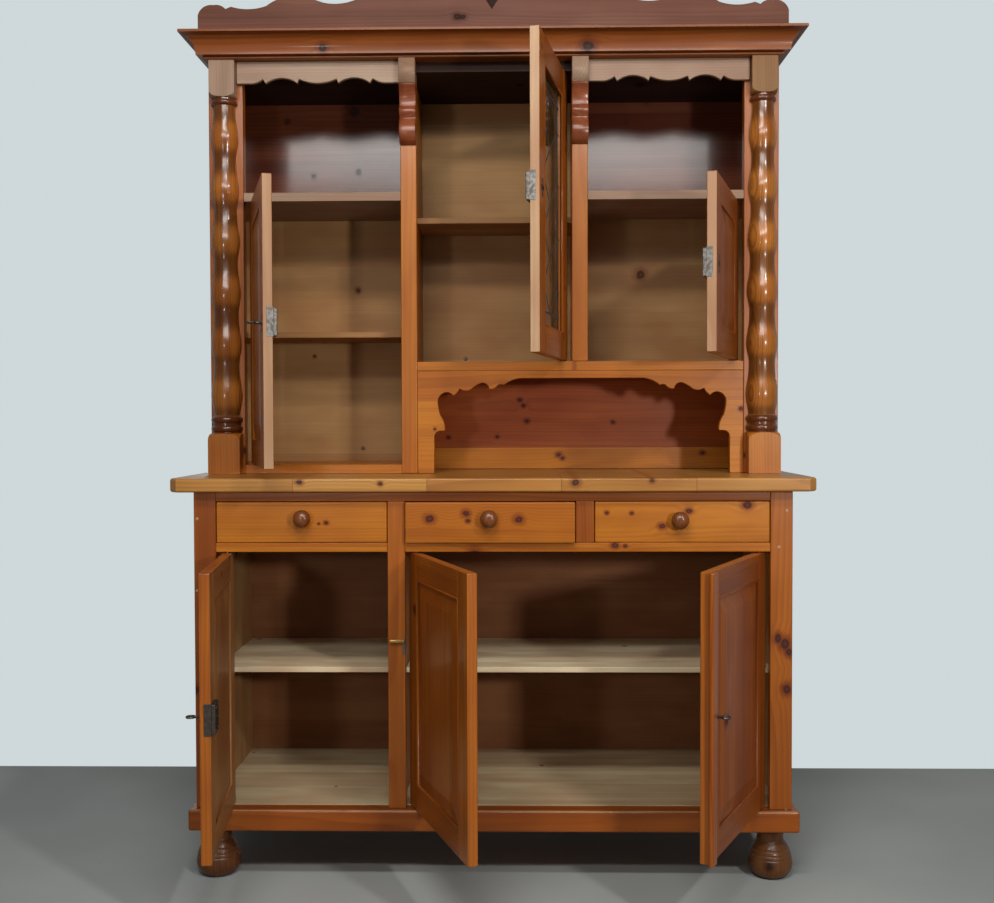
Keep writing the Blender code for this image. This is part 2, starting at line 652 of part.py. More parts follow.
def build_cornice():
    """A tray with a cove round three sides: its underside is drawn in step by step."""
    front, side = CORNICE_FRONT, HUTCH_HALF + CORNICE_OUT
    rear = BASE_BACK_Y
    y = (front, rear + CORNICE_OUT)
    z = (CORNICE_TOP - CORNICE_FILLET_H, CORNICE_TOP)
    cornice = box("cornice", (-side, side), y, z, VARNISHED)
    bm = bmesh.new()
    bm.from_mesh(cornice.data)
    under = [min(bm.faces, key=lambda face: face.calc_center_median().z)]

    reach = CORNICE_OUT - CORNICE_COVE_OUT
    drop = CORNICE_H - CORNICE_FILLET_H - CORNICE_BEAD_H
    inward, downward = 0.0, 0.0
    for i in range(COVE_POINTS):
        turn = math.pi / 2 * (i + 1) / COVE_POINTS
        goal = (reach * math.sin(turn), drop * (1 - math.cos(turn)))
        bmesh.ops.inset_region(
            bm, faces=under, thickness=goal[0] - inward, depth=goal[1] - downward, use_even_offset=True)
        inward, downward = goal
    quirk = CORNICE_COVE_OUT - CORNICE_BEAD_OUT
    bmesh.ops.inset_region(bm, faces=under, thickness=quirk, use_even_offset=True)
    sunk = bmesh.ops.extrude_discrete_faces(bm, faces=under)["faces"]
    lower = [v for face in sunk for v in face.verts]
    bmesh.ops.translate(bm, vec=(0, 0, -CORNICE_BEAD_H), verts=lower)
    bm.to_mesh(cornice.data)
    bm.free()

    past = CORNICE_OUT * 2
    tail = box(
        "cornice_tail", (-side - past, side + past), (rear, rear + past),
        (HUTCH_TOP - past, CORNICE_TOP + past), None)
    boolean(cornice, tail)
    well = box(
        "cornice_well", (-side + CORNICE_RIM, side - CORNICE_RIM), (front + CORNICE_RIM, rear - PANEL_T),
        (HUTCH_TOP + CORNICE_FLOOR_T, CORNICE_TOP + past), None)
    boolean(cornice, well)


def mirrored(half, width):
    """Adds the mirror image of a half outline that starts at 0 and ends in the middle."""
    other = [(width - u, v) for u, v in reversed(half)]
    return half + (other[1:] if math.isclose(half[-1][0], other[0][0]) else other)


def build_crest():
    """Scrolled ends, a dip, a shoulder and a round arch in the middle."""
    half = CREST_W / 2
    stretch, rise = half / 0.675, CREST_PEAK / 0.135
    line = [(0, 0)] + scallops((0, 0.044), [
        ((0.010, 0.060), (0.036, 0.067)),
        ((0.052, 0.066), (0.064, 0.058)),
    ])
    line += scallops((0.077, 0.063), [
        ((0.117, 0.057), (0.158, 0.064)),
        ((0.215, 0.086), (0.272, 0.076)),
    ])
    line += scallops((0.290, 0.070), [
        ((0.330, 0.068), (0.372, 0.080)),
        ((0.420, 0.092), (0.462, 0.086)),
    ])
    line += scallops((0.480, 0.082), [((0.545, 0.118), (0.675, 0.135))], 8)
    line = [(u * stretch, v * rise) for u, v in line]
    points = [(u - half, v) for u, v in mirrored(line, CREST_W)]
    y = CORNICE_FRONT + CREST_SETBACK + CREST_T / 2
    outline("crest", points, CREST_T, FRONT, (0, y, CORNICE_TOP + GAP), VARNISHED)


def valance_line(width):
    """Lower edge of a valance: hanging lobes at the ends and in the middle, cusped arches between."""
    lobe, arch, notch = -VALANCE_H, -VALANCE_H * 0.755, -VALANCE_H * 0.80
    half = [(0, lobe), (width * 0.075, lobe)]
    half += arc(half[-1], (width * 0.125, lobe * 0.95), (width * 0.161, notch), 4)
    half += scallops((width * 0.179, lobe), [((width * 0.2765, arch), (width * 0.374, lobe))], 8)
    half += scallops((width * 0.385, notch), [((width * 0.4425, lobe * 0.952), (width * 0.5, lobe))], 4)
    return mirrored(half, width)


def build_valances():
    y = FACE_Y - GAP - VALANCE_T / 2
    block = COLUMN_X - BLANK_TOP / 2 - 0.002
    for side, stile, sign in (("left", LEFT_STILE_X, -1), ("right", RIGHT_STILE_X, 1)):
        corbel = abs(stile) + CORBEL_W / 2 + GAP
        width = block - corbel - GAP
        points = [(0, 0)] + valance_line(width) + [(width, 0)]
        low = corbel if sign > 0 else -block
        outline(f"valance_{side}", points, VALANCE_T, FRONT, (low, y, HUTCH_TOP - GAP), VARNISHED)


def build_corbels():
    """Scroll brackets on the two inner stiles, under the cornice."""
    out, low = CORBEL_OUT, CORBEL_H
    line = [(0, 0), (-out, 0), (-out, -low * 0.29), (-out * 0.87, -low * 0.31)]
    line += arc(line[-1], (-out * 0.55, -low * 0.39), (-out * 0.42, -low * 0.555), 4)
    line += [(-out * 0.64, -low * 0.565), (-out * 0.64, -low * 0.645)]
    line += [(-out * 0.30, -low * 0.67), (-out * 0.34, -low * 0.70)]
    line += arc(line[-1], (-out * 0.76, -low * 0.83), (0, -low), 7)
    for side, x in (("left", LEFT_STILE_X), ("right", RIGHT_STILE_X)):
        location = (x, FACE_Y - GAP, HUTCH_TOP - GAP)
        outline(f"corbel_{side}", line, CORBEL_W, SIDE, location, VARNISHED)


def build_apron():
    """The scalloped arch round the open niche, from the inner stile to the corner post."""
    low, high = LEFT_STILE_X + HUTCH_STILE_W / 2 + GAP, POST_X - GAP
    width, clear = high - low, NICHE_H / 0.240
    opening = width - APRON_LEG_LEFT - APRON_LEG_RIGHT
    line = [(0, 0)] + scallops((0, 0.0852), [((0.005, 0.0957), (0.0117, 0.099))], 3)
    line += scallops((0.025, 0.0995), [
        ((0.0228, 0.1185), (0.0142, 0.1354)),
        ((0.0098, 0.1535), (0.0084, 0.1658)),
        ((0.0138, 0.1815), (0.029, 0.1894)),
        ((0.0385, 0.187), (0.0451, 0.1812)),
        ((0.0532, 0.1877), (0.060, 0.1978)),
        ((0.0749, 0.1929), (0.0866, 0.1964)),
        ((0.0985, 0.2052), (0.1116, 0.2111)),
        ((0.1222, 0.2082), (0.1291, 0.1961)),
        ((0.1401, 0.1978), (0.1485, 0.2045)),
        ((0.155, 0.2069), (0.1618, 0.2045)),
        ((0.180, 0.2162), (0.2001, 0.2218)),
    ], 4)
    inner = [(APRON_LEG_LEFT + u, GAP + v * clear) for u, v in mirrored(line, opening)]
    points = inner + [(width, GAP), (width, NICHE_H - GAP), (0, NICHE_H - GAP), (0, GAP)]
    y = FACE_Y + SHELF_NOSE + APRON_T / 2
    outline("niche_apron", points, APRON_T, FRONT, (low, y, TOP_Z), VARNISHED)


def face_towards(bm, axis, sign):
    return [max(bm.faces, key=lambda face: sign * face.normal[axis])]


def panelled_leaf(bm):
    """Frame and raised panel on the front, a shallow sunk panel on the back."""
    front = face_towards(bm, 1, -1)
    back = face_towards(bm, 1, 1)
    for thickness, depth in (
            (DOOR_FRAME_W, 0), (PANEL_MOULD, -PANEL_DEPTH), (PANEL_FLAT, 0), (PANEL_BEVEL, PANEL_RISE)):
        bmesh.ops.inset_region(bm, faces=front, thickness=thickness, depth=depth, use_even_offset=True)
    for thickness, depth in ((DOOR_FRAME_W, 0), (PANEL_MOULD, -BACK_RECESS)):
        bmesh.ops.inset_region(bm, faces=back, thickness=thickness, depth=depth, use_even_offset=True)


def add_pins(leaf, pivot, z):
    """Round pins on the pivot axis, one at each end of the door."""
    sunk, reach = PIN_L, DOOR_END_GAP + PIN_L
    for end, limits in (("upper", (z[1] - sunk, z[1] + reach)), ("lower", (z[0] - reach, z[0] + sunk))):
        boolean(leaf, rod(f"{leaf.name}_{end}_pin", PIN_R, limits, (0, 0), pivot), "UNION")


def build_door(name, opening, hinge_left, face_y, z_open, boards, glazed=False):
    """A door leaf on its pivot; the boards above and below get the pin sockets."""
    sign = 1 if hinge_left else -1
    edge = opening[0] if hinge_left else opening[1]
    width = opening[1] - opening[0] - PIVOT_SIDE_GAP - FREE_SIDE_GAP
    axis = (edge + sign * (PIVOT_SIDE_GAP + PIVOT_IN), face_y + DOOR_T / 2)
    pivot = bpy.data.objects.new(f"{name}_pivot", None)
    place(pivot, None, (*axis, 0), (0, 0, -sign * math.radians(REST_OPEN[name])))

    z = (z_open[0] + DOOR_END_GAP, z_open[1] - DOOR_END_GAP)
    x = sorted((-sign * PIVOT_IN, sign * (width - PIVOT_IN)))
    centres, sizes = zip(span(*x), (0, DOOR_T), span(*z))
    bm = box_mesh(sizes)
    if not glazed:
        panelled_leaf(bm)
    leaf = mesh_object(name, bm, VARNISHED, pivot, centres)
    if glazed:
        glaze(leaf, pivot, x, z)
    add_pins(leaf, pivot, z)
    below, above = boards
    pivot_socket(below, *axis, z_open[0], up=False)
    pivot_socket(above, *axis, z_open[1], up=True)
    return leaf, pivot, sign * (width - PIVOT_IN - KEY_FROM_EDGE), span(*z)[0]


def glaze(leaf, pivot, x, z):
    """Cuts the sight opening and its rebate, and sets the pane behind the front lip."""
    sight_x, sight_z = (x[0] + GLASS_SIGHT_W, x[1] - GLASS_SIGHT_W), (z[0] + GLASS_SIGHT_W, z[1] - GLASS_SIGHT_W)
    front, lip = -DOOR_T / 2, -DOOR_T / 2 + GLASS_BACK
    boolean(leaf, box("sight_opening", sight_x, (front - DOOR_T, DOOR_T), sight_z, None, pivot))
    rebate_x = (sight_x[0] - GLASS_LIP, sight_x[1] + GLASS_LIP)
    rebate_z = (sight_z[0] - GLASS_LIP, sight_z[1] + GLASS_LIP)
    boolean(leaf, box("glass_rebate", rebate_x, (lip, DOOR_T), rebate_z, None, pivot))
    pane_x = (rebate_x[0] + GAP, rebate_x[1] - GAP)
    pane_z = (rebate_z[0] + GAP, rebate_z[1] - GAP)
    box("door_glass", pane_x, (lip + GAP, lip + GAP + GLASS_T), pane_z, GLASS, pivot)


def build_key(name, leaf, pivot, x, z):
    """An iron key in its keyhole, with a ring bow outside and a bit inside the door."""
    front, back = -DOOR_T / 2, DOOR_T / 2
    hole = turned(
        f"{name}_hole", [(0, DOOR_T), (KEY_R + KEY_PLAY, DOOR_T), (KEY_R + KEY_PLAY, -DOOR_T), (0, -DOOR_T)],
        None, pivot, (x, 0, z), FRONT, PIN_STEPS)
    boolean(leaf, hole)
    tip, tail = -front + KEY_OUT, -back - KEY_IN
    key = turned(
        name, [(0, tip), (KEY_R, tip), (KEY_R, tail), (0, tail)], IRON, pivot, (x, 0, z), FRONT, PIN_STEPS)
    bpy.ops.mesh.primitive_torus_add(
        major_segments=14, minor_segments=6, major_radius=KEY_BOW_R, minor_radius=KEY_WIRE_R)
    bow = bpy.context.object
    bow.name = f"{name}_bow"
    for collection in list(bow.users_collection):
        collection.objects.unlink(bow)
    place(bow, pivot, (x, -tip - KEY_BOW_R + KEY_WIRE_R, z))
    boolean(key, bow, "UNION")
    width, length, drop = KEY_BIT
    bit_y = (-tail - length - 0.001, -tail - 0.001)
    bit = box(f"{name}_bit", (x - width / 2, x + width / 2), bit_y, (z - KEY_R - drop, z), None, pivot)
    boolean(key, bit, "UNION")


def build_doors(base_board, rails, held):
    mid = MID_STILE_W / 2
    low = (PLINTH_TOP, RAIL_Z)
    left = (-STILE_X, MID_STILE_X - mid)
    pair = (MID_STILE_X + mid, STILE_X)
    meet = sum(pair) / 2
    half_gap = (PIVOT_SIDE_GAP - FREE_SIDE_GAP) / 2
    middle, right = (pair[0], meet + half_gap), (meet - half_gap, pair[1])
    lower_left = build_door("lower_left_door", left, True, 0, low, (base_board, rails[0]))
    build_door("lower_middle_door", middle, True, 0, low, (base_board, rails[1]))
    lower_right = build_door("lower_right_door", right, False, 0, low, (base_board, rails[1]))

    front, _ = hutch_bays()
    tall = (FLOOR_LEFT_TOP, SHELF_Z)
    upper_left = build_door(
        "upper_left_door", front["left"], True, FACE_Y, tall, (held["floor_left"], held["shelf_left"]))
    build_door(
        "upper_glazed_door", front["centre"], False, FACE_Y, (FLOOR_RIGHT_TOP, CEILING_Z),
        (held["floor_right"], held["ceiling"]), glazed=True)
    build_door(
        "upper_right_door", front["right"], False, FACE_Y, (FLOOR_RIGHT_TOP, SHELF_Z),
        (held["floor_right"], held["shelf_right"]))
    build_key("key_lower_left", *lower_left)
    build_key("key_lower_right", *lower_right)
    build_key("key_upper_left", *upper_left)


def build_drawers():
    mid, short = MID_STILE_W / 2, SHORT_STILE_W / 2
    build_drawer("left", -STILE_X, MID_STILE_X - mid)
    build_drawer("middle", MID_STILE_X + mid, SHORT_STILE_X - short, DRAWN_OUT)
    build_drawer("right", SHORT_STILE_X + short, STILE_X)


def centre_on_footprint():
    """Moves the whole cabinet so that the origin is under the middle of its box, on the floor."""
    bpy.context.view_layer.update()
    graph = bpy.context.evaluated_depsgraph_get()
    low, high = Vector((math.inf,) * 3), Vector((-math.inf,) * 3)
    for piece in PARTS.objects:
        if piece.type == "EMPTY":
            continue
        evaluated = piece.evaluated_get(graph)
        mesh = evaluated.to_mesh()
        for vertex in mesh.vertices:
            point = evaluated.matrix_world @ vertex.co
            low = Vector(map(min, low, point))
            high = Vector(map(max, high, point))
        evaluated.to_mesh_clear()
    ORIGIN.location = (-(low.x + high.x) / 2, -(low.y + high.y) / 2, -low.z)


def smooth_turnings():
    for piece in PARTS.objects:
        if piece.name.split("_")[0] in ("foot", "knob", "column", "key"):
            piece.data.shade_smooth()
            piece.data.set_sharp_from_angle(angle=math.radians(40))


def main():
    build_feet()
    base_board = build_base_board()
    build_base_case()
    rails = build_base_frame()
    build_worktop()
    build_drawers()
    build_hutch_case()
    held = build_hutch_boards()
    build_columns()
    build_cornice()
    build_crest()
    build_valances()
    build_corbels()
    build_apron()
    build_doors(base_board, rails, held)
    smooth_turnings()
    centre_on_footprint()


main()
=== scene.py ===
"""Looks of the pine buffet cabinet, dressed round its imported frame. Metres, +Z up, front along -Y."""
import json
import math

import bmesh
import bpy
from mathutils import Matrix, Vector


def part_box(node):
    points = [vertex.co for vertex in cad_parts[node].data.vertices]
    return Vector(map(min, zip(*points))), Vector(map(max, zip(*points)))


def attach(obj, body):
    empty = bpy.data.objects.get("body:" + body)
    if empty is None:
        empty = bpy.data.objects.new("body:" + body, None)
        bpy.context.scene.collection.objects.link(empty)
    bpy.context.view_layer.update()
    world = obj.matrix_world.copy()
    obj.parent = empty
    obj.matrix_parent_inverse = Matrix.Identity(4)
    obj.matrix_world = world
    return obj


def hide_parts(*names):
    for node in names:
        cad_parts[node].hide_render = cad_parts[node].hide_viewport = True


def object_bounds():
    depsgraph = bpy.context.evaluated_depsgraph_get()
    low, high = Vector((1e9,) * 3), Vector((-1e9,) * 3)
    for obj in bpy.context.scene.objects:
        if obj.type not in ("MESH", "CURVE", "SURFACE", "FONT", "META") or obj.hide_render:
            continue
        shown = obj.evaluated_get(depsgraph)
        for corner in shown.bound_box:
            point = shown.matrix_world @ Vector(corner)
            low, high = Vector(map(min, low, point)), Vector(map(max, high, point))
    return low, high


# Photograph and camera, measured from the middle of the base front on the floor
PHOTO_W = 994
FOCAL_PX = 1151.5
CAMERA_AT = Vector((0.0588, -2.5032, 1.0119))
CAMERA_YAW = -0.0188
CAMERA_PITCH = 0.0263
CAMERA_ROLL = -0.0028

# Boards
EDGE = 0.0016                # worn edge of a board
THICK_EDGE = 0.005           # worn edge of the plinth and the worktop
SKIN_T = 0.002               # thin facing on a board
SIDE_IN = 0.020              # outer end of a facing from the outside of the hutch
WALL_IN = 0.010              # inner end of a facing from the middle of a partition
PIN_REACH = 0.0115           # door pin beyond the leaf
PIN_R = 0.004
GLINT_FACING = (0, -0.38, 0.92)  # way that the plinth's upper bevel faces, where a pale line paints a glint

# Doors
FRAME_W = 0.056
DOOR_PLANK = 0.07
PANEL_T = 0.013
PANEL_PLANK = 0.11
PANEL_TUCK = 0.006
FIELD_FLAT = 0.010
FIELD_BEVEL = 0.026
FIELD_RISE = 0.005
BEAD_R = 0.0042
STRIP_W = 0.026              # closing strip on the lower right door
STRIP_T = 0.009
STRIP_LAP = 0.010
LIP_OUT = 0.0006             # pale band on a closing edge, painted light on a worn edge: beyond the leaf, into it and short of its ends
LIP_IN = 0.0012
LIP_INSET = 0.001

# Leaded glass
SIGHT_W = 0.060
CAME_W = 0.006
CAME_T = 0.005
CAME_BORDER = 0.034
CAME_ROWS = 4

# Locks and keys
CASE_SIZE = (0.046, 0.009, 0.058)
PLATE_SIZE = (0.013, 0.0012, 0.062)
PLATE_LAP = 0.001
RIVET_R = 0.0032
RIVETS = ((0.15, 0.12), (0.15, 0.88), (0.85, 0.12), (0.85, 0.88))  # shares of the case's face
KEY_FROM_EDGE = 0.030
KEY_PLATE = (0.009, 0.0009, 0.030)
KEY_PLATE_ARM = 0.020
KEYHOLE_UP = 0.003
KEY_SLOT = (0.0013, 0.008)   # half width and drop
GLAZED_LOCK_UP = 0.009

# Round heads: radius and thickness
KEY_PLATE_TIP = (0.0048, 0.0012)
KEYHOLE = (0.0028, 0.0002)
PEG_HEAD = (0.0034, 0.0009)
BOLT_HEAD = (0.0050, 0.0018)
BUTTON_SCREW = (0.0034, 0.0092)

# Small fittings: x and height above the floor
PEGS = ((-0.6455, 0.800), (-0.647, 0.642), (0.623, 0.737), (0.640, 0.816), (-0.640, 0.160), (0.640, 0.160))
BACK_BOLTS = ((-0.342, 0.943), (-0.077, 1.172))
TURN_BUTTON = (-0.208, 0.532)
BUTTON_HALF = (0.016, 0.0036)
BUTTON_OUT = (0.0018, 0.0075)  # its back and face before the stile
STRIKE_LOW = Vector((-0.006, -0.0008, -0.030))  # corners from the stile's edge at the button
STRIKE_HIGH = Vector((-0.0005, 0.0004, 0.004))
LOZENGE = (0.0225, 0.035, 0.003)  # half width, half height and thickness
CREST_BOSS = 0.086

# Drawers
DRAWER_FRONT_T = 0.020
TRAY_GAP = 0.004
TRAY_DROP = 0.0165
TRAY_T = 0.010
BOTTOM_UP = 0.002
BOTTOM_T = 0.008

# Turned and moulded work
ROUND_STEPS = 56
SMALL_STEPS = 24
FOOT_NECK = 0.588            # shares of a foot's radius
FOOT_COLLAR = 0.763
FOOT_LINES = (0.39, 0.47, 0.56)  # shares of its height
FOOT_KNOT = (0.0335, -0.012, 0.0070)  # along, across and radius
BOBBINS = 6
BOBBIN_POINTS = 18
BOBBIN_WAIST = 0.0065
BOBBIN_LEAN = 1.4            # over 1, each bobbin is fullest below its middle
HEAD_RING_R = 0.031
HEAD_RING_H = 0.013
RING_H = 0.018
RING_OUT = 0.004
BLOCK_LOW_H = 0.095
BLOCK_TOP_H = 0.083
BLANK_TOP = 0.0585
SHAFT_LOW_R = 0.0368
SHAFT_TOP_R = 0.0312
COVE_OUT = 0.017
BEAD_OUT = 0.005
BEAD_H = 0.007
BEAD_ROUND = 0.003
COVE_STEPS = 16
FILLET_H = 0.006
CORNICE_OUT = 0.049
CORNICE_RIM = 0.075
CORNICE_WELL = 0.035
CORNICE_BACK_RIM = 0.020
APRON_LEG = 0.0387
APRON_LEG_RIGHT = 0.0308

# Surroundings: the floor's end behind the part, and the room's brightness in front, behind and as background
FLOOR_BEHIND = 0.37
ROOM_FRONT = 0.12
ROOM_BEHIND = 0.10
BACKGROUND = 0.82
ROOM_RUN = (-0.7, 0.7)       # way, from front to back, over which each brightness changes
WALL_RUN = (-0.3, 0.5)

# Lamps: place from the middle of the front on the floor, size and power
LAMPS_AIM = (0.0, 0.2, 1.0)
LAMP_COLOUR = (1.0, 0.98, 0.95)
LAMPS = {
    "key": ((1.50, -2.3, 2.58), (0.16, 0.16), 23),
    "low": ((1.45, -2.6, 1.22), (0.16, 0.16), 30),
    "left": ((-0.87, -2.6, 1.10), (0.14, 0.14), 7),
    "overhead": ((-0.20, -1.6, 2.78), (1.3, 0.20), 24),
    "wide": ((-0.20, -2.4, 2.50), (1.2, 0.20), 15),
    "window": ((-0.10, -2.5, 2.45), (2.3, 0.45), 52),
    "fill": ((-0.45, -3.0, 1.45), (1.2, 1.2), 5),
    "rear": ((-0.60, 3.2, 2.00), (1.5, 1.5), 45),
}

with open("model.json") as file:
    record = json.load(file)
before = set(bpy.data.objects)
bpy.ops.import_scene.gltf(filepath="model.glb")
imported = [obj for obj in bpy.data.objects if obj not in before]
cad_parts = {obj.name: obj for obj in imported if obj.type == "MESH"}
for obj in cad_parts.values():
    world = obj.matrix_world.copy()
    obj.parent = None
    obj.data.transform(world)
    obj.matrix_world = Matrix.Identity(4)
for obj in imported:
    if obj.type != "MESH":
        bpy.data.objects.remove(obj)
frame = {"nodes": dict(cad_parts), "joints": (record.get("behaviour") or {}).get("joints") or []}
CAD_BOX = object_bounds()
NODES = frame["nodes"]
JOINTS = {joint["child"]: joint for joint in frame["joints"]}
FRONT_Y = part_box("base_stile_left")[0].y
X, Y, Z = 0, 1, 2


def srgb(red, green, blue):
    """A colour as seen on screen, 0 to 255, in the linear values that shaders take."""
    def linear(value):
        value /= 255
        return value / 12.92 if value <= 0.04045 else ((value + 0.055) / 1.055) ** 2.4
    return (linear(red), linear(green), linear(blue), 1.0)


class Nodes:
    """A node tree that is built from its inputs towards its output."""

    def __init__(self, tree):
        self.tree = tree

    def put(self, socket, value):
        if isinstance(value, bpy.types.NodeSocket):
            self.tree.links.new(value, socket)
        else:
            socket.default_value = value

    def add(self, kind, inputs=None, **settings):
        made = self.tree.nodes.new("ShaderNode" + kind)
        for key, value in settings.items():
            setattr(made, key, value)
        for key, value in (inputs or {}).items():
            self.put(made.inputs[key], value)
        return made

    def math(self, operation, *values):
        return self.add("Math", dict(enumerate(values)), operation=operation).outputs[0]


class Graph(Nodes):
    """A node material."""

    def __init__(self, name):
        self.material = bpy.data.materials.new(name)
        self.material.use_nodes = True
        super().__init__(self.material.node_tree)
        self.shader = self.tree.nodes["Principled BSDF"]

    def plus(self, *values):
        return self.math("ADD", *values)

    def minus(self, *values):
        return self.math("SUBTRACT", *values)

    def times(self, *values):
        return self.math("MULTIPLY", *values)

    def scaled(self, value, factor, more):
        return self.math("MULTIPLY_ADD", value, factor, more)

    def vector(self, x, y, z):
        return self.add("CombineXYZ", {0: x, 1: y, 2: z}).outputs[0]

    def noise(self, place, scale, detail=2.0):
        made = self.add("TexNoise", {"Vector": place, "Scale": scale, "Detail": detail})
        return made.outputs

    def fade(self, value, start, end, low=0.0, high=1.0):
        """Runs smoothly from low at start to high at end."""
        inputs = {"Value": value, "From Min": start, "From Max": end, "To Min": low, "To Max": high}
        return self.add("MapRange", inputs, interpolation_type="SMOOTHSTEP").outputs[0]

    def mix(self, share, first, second, blend="MIX"):
        made = self.add("Mix", data_type="RGBA", blend_type=blend)
        self.put(made.inputs[0], share)
        self.put(made.inputs[6], first)
        self.put(made.inputs[7], second)
        return made.outputs[2]

    def ramp(self, value, stops):
        made = self.add("ValToRGB", {0: value})
        points = made.color_ramp.elements
        while len(points) < len(stops):
            points.new(0.5)
        for point, (position, colour) in zip(points, stops):
            point.position = position
            point.color = colour
        return made.outputs[0]

    def bump(self, height, strength, distance):
        inputs = {"Height": height, "Strength": strength, "Distance": distance}
        self.put(self.shader.inputs["Normal"], self.add("Bump", inputs).outputs[0])

    def finish(self, **inputs):
        for key, value in inputs.items():
            self.put(self.shader.inputs[key.replace("_", " ")], value)
        return self.material


# Axes of a board: along its grain, across its wide face and through its thickness
GRAIN = {"x": (0, 2, 1), "x_flat": (0, 1, 2), "y": (1, 0, 2), "z": (2, 0, 1), "z_side": (2, 1, 0)}

# The wood's own sheen, and what the varnish adds to it
BARE_SHEEN, COAT_SHEEN = 0.12, 0.72

# On-screen colours of early wood, late wood and knots, then the strength of the figure, roughness and coat
FINISHES = {
    "front": ((176, 104, 26), (134, 70, 13), (66, 22, 7), 0.42, 0.36, 0.10),
    "rail": ((166, 90, 25), (122, 58, 12), (60, 20, 6), 0.50, 0.34, 0.15),
    "frame": ((156, 84, 23), (112, 52, 11), (58, 19, 6), 0.50, 0.34, 0.15),
    "cornice": ((134, 72, 25), (96, 48, 14), (34, 16, 12), 0.55, 0.38, 0.10),
    "top": ((176, 122, 58), (138, 88, 36), (54, 26, 11), 0.50, 0.34, 0.15),
    "dark": ((168, 102, 40), (98, 49, 16), (44, 17, 8), 0.65, 0.24, 0.25),
    "ring": ((96, 48, 22), (68, 32, 13), (36, 15, 9), 0.50, 0.24, 0.25),
    # ebony: near black; the crest's dark lozenge, and painted shade on the hutch ceiling
    "ebony": ((50, 29, 20), (37, 20, 13), (20, 11, 8), 0.50, 0.70, 0.0),
    "backs": ((92, 46, 28), (66, 30, 17), (26, 11, 8), 0.50, 0.22, 0.20),
    "ripe": ((138, 70, 21), (98, 44, 11), (44, 16, 6), 0.45, 0.40, 0.08),
    "niche": ((164, 80, 28), (122, 54, 16), (62, 22, 8), 0.45, 0.40, 0.08),
    "knob": ((116, 64, 30), (82, 40, 16), (30, 13, 9), 0.50, 0.26, 0.25),
    "corbel": ((136, 72, 40), (98, 46, 22), (40, 18, 12), 0.60, 0.30, 0.20),
    "foot": ((98, 58, 29), (70, 38, 17), (34, 17, 10), 0.60, 0.38, 0.12),
    "dull": ((106, 66, 51), (83, 49, 36), (38, 18, 12), 0.55, 0.52, 0.0),
    # block and tan: pale, greyed colours that paint the sheen on the top blocks, valances and corbel blocks;
    # the open shelves take block too, and tan, darker, is the right column's top block
    "block": ((147, 119, 98), (123, 94, 73), (70, 40, 25), 0.45, 0.48, 0.05),
    "tan": ((126, 88, 52), (102, 68, 36), (60, 34, 20), 0.45, 0.48, 0.05),
    # edge: pale; on the plinth's upper bevel and the upper doors' closing edges it paints the light they
    # catch, and the joint pegs take it too
    "edge": ((177, 142, 109), (151, 114, 81), (80, 44, 23), 0.45, 0.45, 0.05),
    "inside": ((160, 121, 78), (137, 100, 62), (74, 44, 25), 0.22, 0.55, 0.0),
    "worn": ((146, 96, 54), (116, 72, 38), (56, 30, 18), 0.40, 0.46, 0.05),
    "brown": ((136, 90, 58), (112, 70, 43), (56, 32, 20), 0.22, 0.50, 0.0),
    "grey": ((192, 172, 138), (160, 140, 108), (82, 58, 38), 0.50, 0.65, 0.0),
    "pale": ((220, 202, 168), (188, 170, 136), (92, 66, 44), 0.50, 0.65, 0.0),
}


def knots_of(g, along, across, moved, local, index, share, marks):
    """Distance to the nearest knot in radii of that knot: scattered ones and those of the list."""
    spread, squash = 7.0, 1.2
    place = g.vector(moved, g.scaled(index, 1.7, local), 0.0)
    spots = g.add("TexVoronoi", {"Vector": place, "Scale": spread}, voronoi_dimensions="2D").outputs
    pick = g.add("SeparateColor", {0: spots["Color"]}).outputs
    radius = g.scaled(g.math("POWER", pick[1], 3.0), 0.009, 0.0025)
    away = g.math("DIVIDE", g.times(spots["Distance"], 1 / spread), radius)
    nearest = g.scaled(g.math("GREATER_THAN", pick[0], share), 99.0, away)
    here = g.vector(along, g.times(across, squash), 0.0)
    for u, v, size in marks:
        gap = g.add("VectorMath", {0: here, 1: (u, v * squash, 0.0)}, operation="DISTANCE").outputs["Value"]
        nearest = g.math("MINIMUM", nearest, g.times(gap, 1 / size))
    return nearest


def year_rings(g, along, across, through, bend, chance, plank, rings):
    """Late wood of the year rings on a sawn face, from 0 to 1, bent round the knots."""
    first, second = chance
    bent_at = g.vector(g.times(along, 1.1), g.times(across, 6.0), g.times(through, 6.0))
    warp = g.add("SeparateColor", {0: g.noise(bent_at, 1.0, 2.0)[1]}).outputs
    side = g.scaled(g.minus(first, 0.5), plank * 1.2, across)
    side = g.scaled(g.minus(warp[0], 0.5), 0.05, side)
    deep = g.plus(through, g.scaled(second, 0.05, 0.012))
    deep = g.scaled(g.minus(warp[1], 0.5), 0.05, deep)
    reach = g.math("SQRT", g.plus(g.times(side, side), g.times(deep, deep)))
    phase = g.times(g.scaled(bend, 0.006, reach), 1 / rings)
    part = g.math("FRACT", phase)
    dark = g.times(g.fade(part, 0.15, 0.90), g.fade(part, 1.0, 0.92))
    strong = g.add("TexWhiteNoise", {"W": g.math("FLOOR", phase)}, noise_dimensions="1D").outputs["Value"]
    return g.times(dark, g.scaled(strong, 0.75, 0.25))


def painted_waist_shade(g, place, height):
    """How far a point of a column's shaft lies in a waist, where shade is painted."""
    low = BLOCK_LOW_H + 2 * RING_H
    taper = (SHAFT_TOP_R - SHAFT_LOW_R) / (height - BLOCK_TOP_H - HEAD_RING_H - low)
    squares = [g.times(place[i], place[i]) for i in (X, Y)]
    full = g.scaled(g.minus(place[Z], low), taper, SHAFT_LOW_R)
    depth = g.minus(full, g.math("SQRT", g.plus(*squares)))
    return g.fade(depth, BOBBIN_WAIST * 0.3, BOBBIN_WAIST)


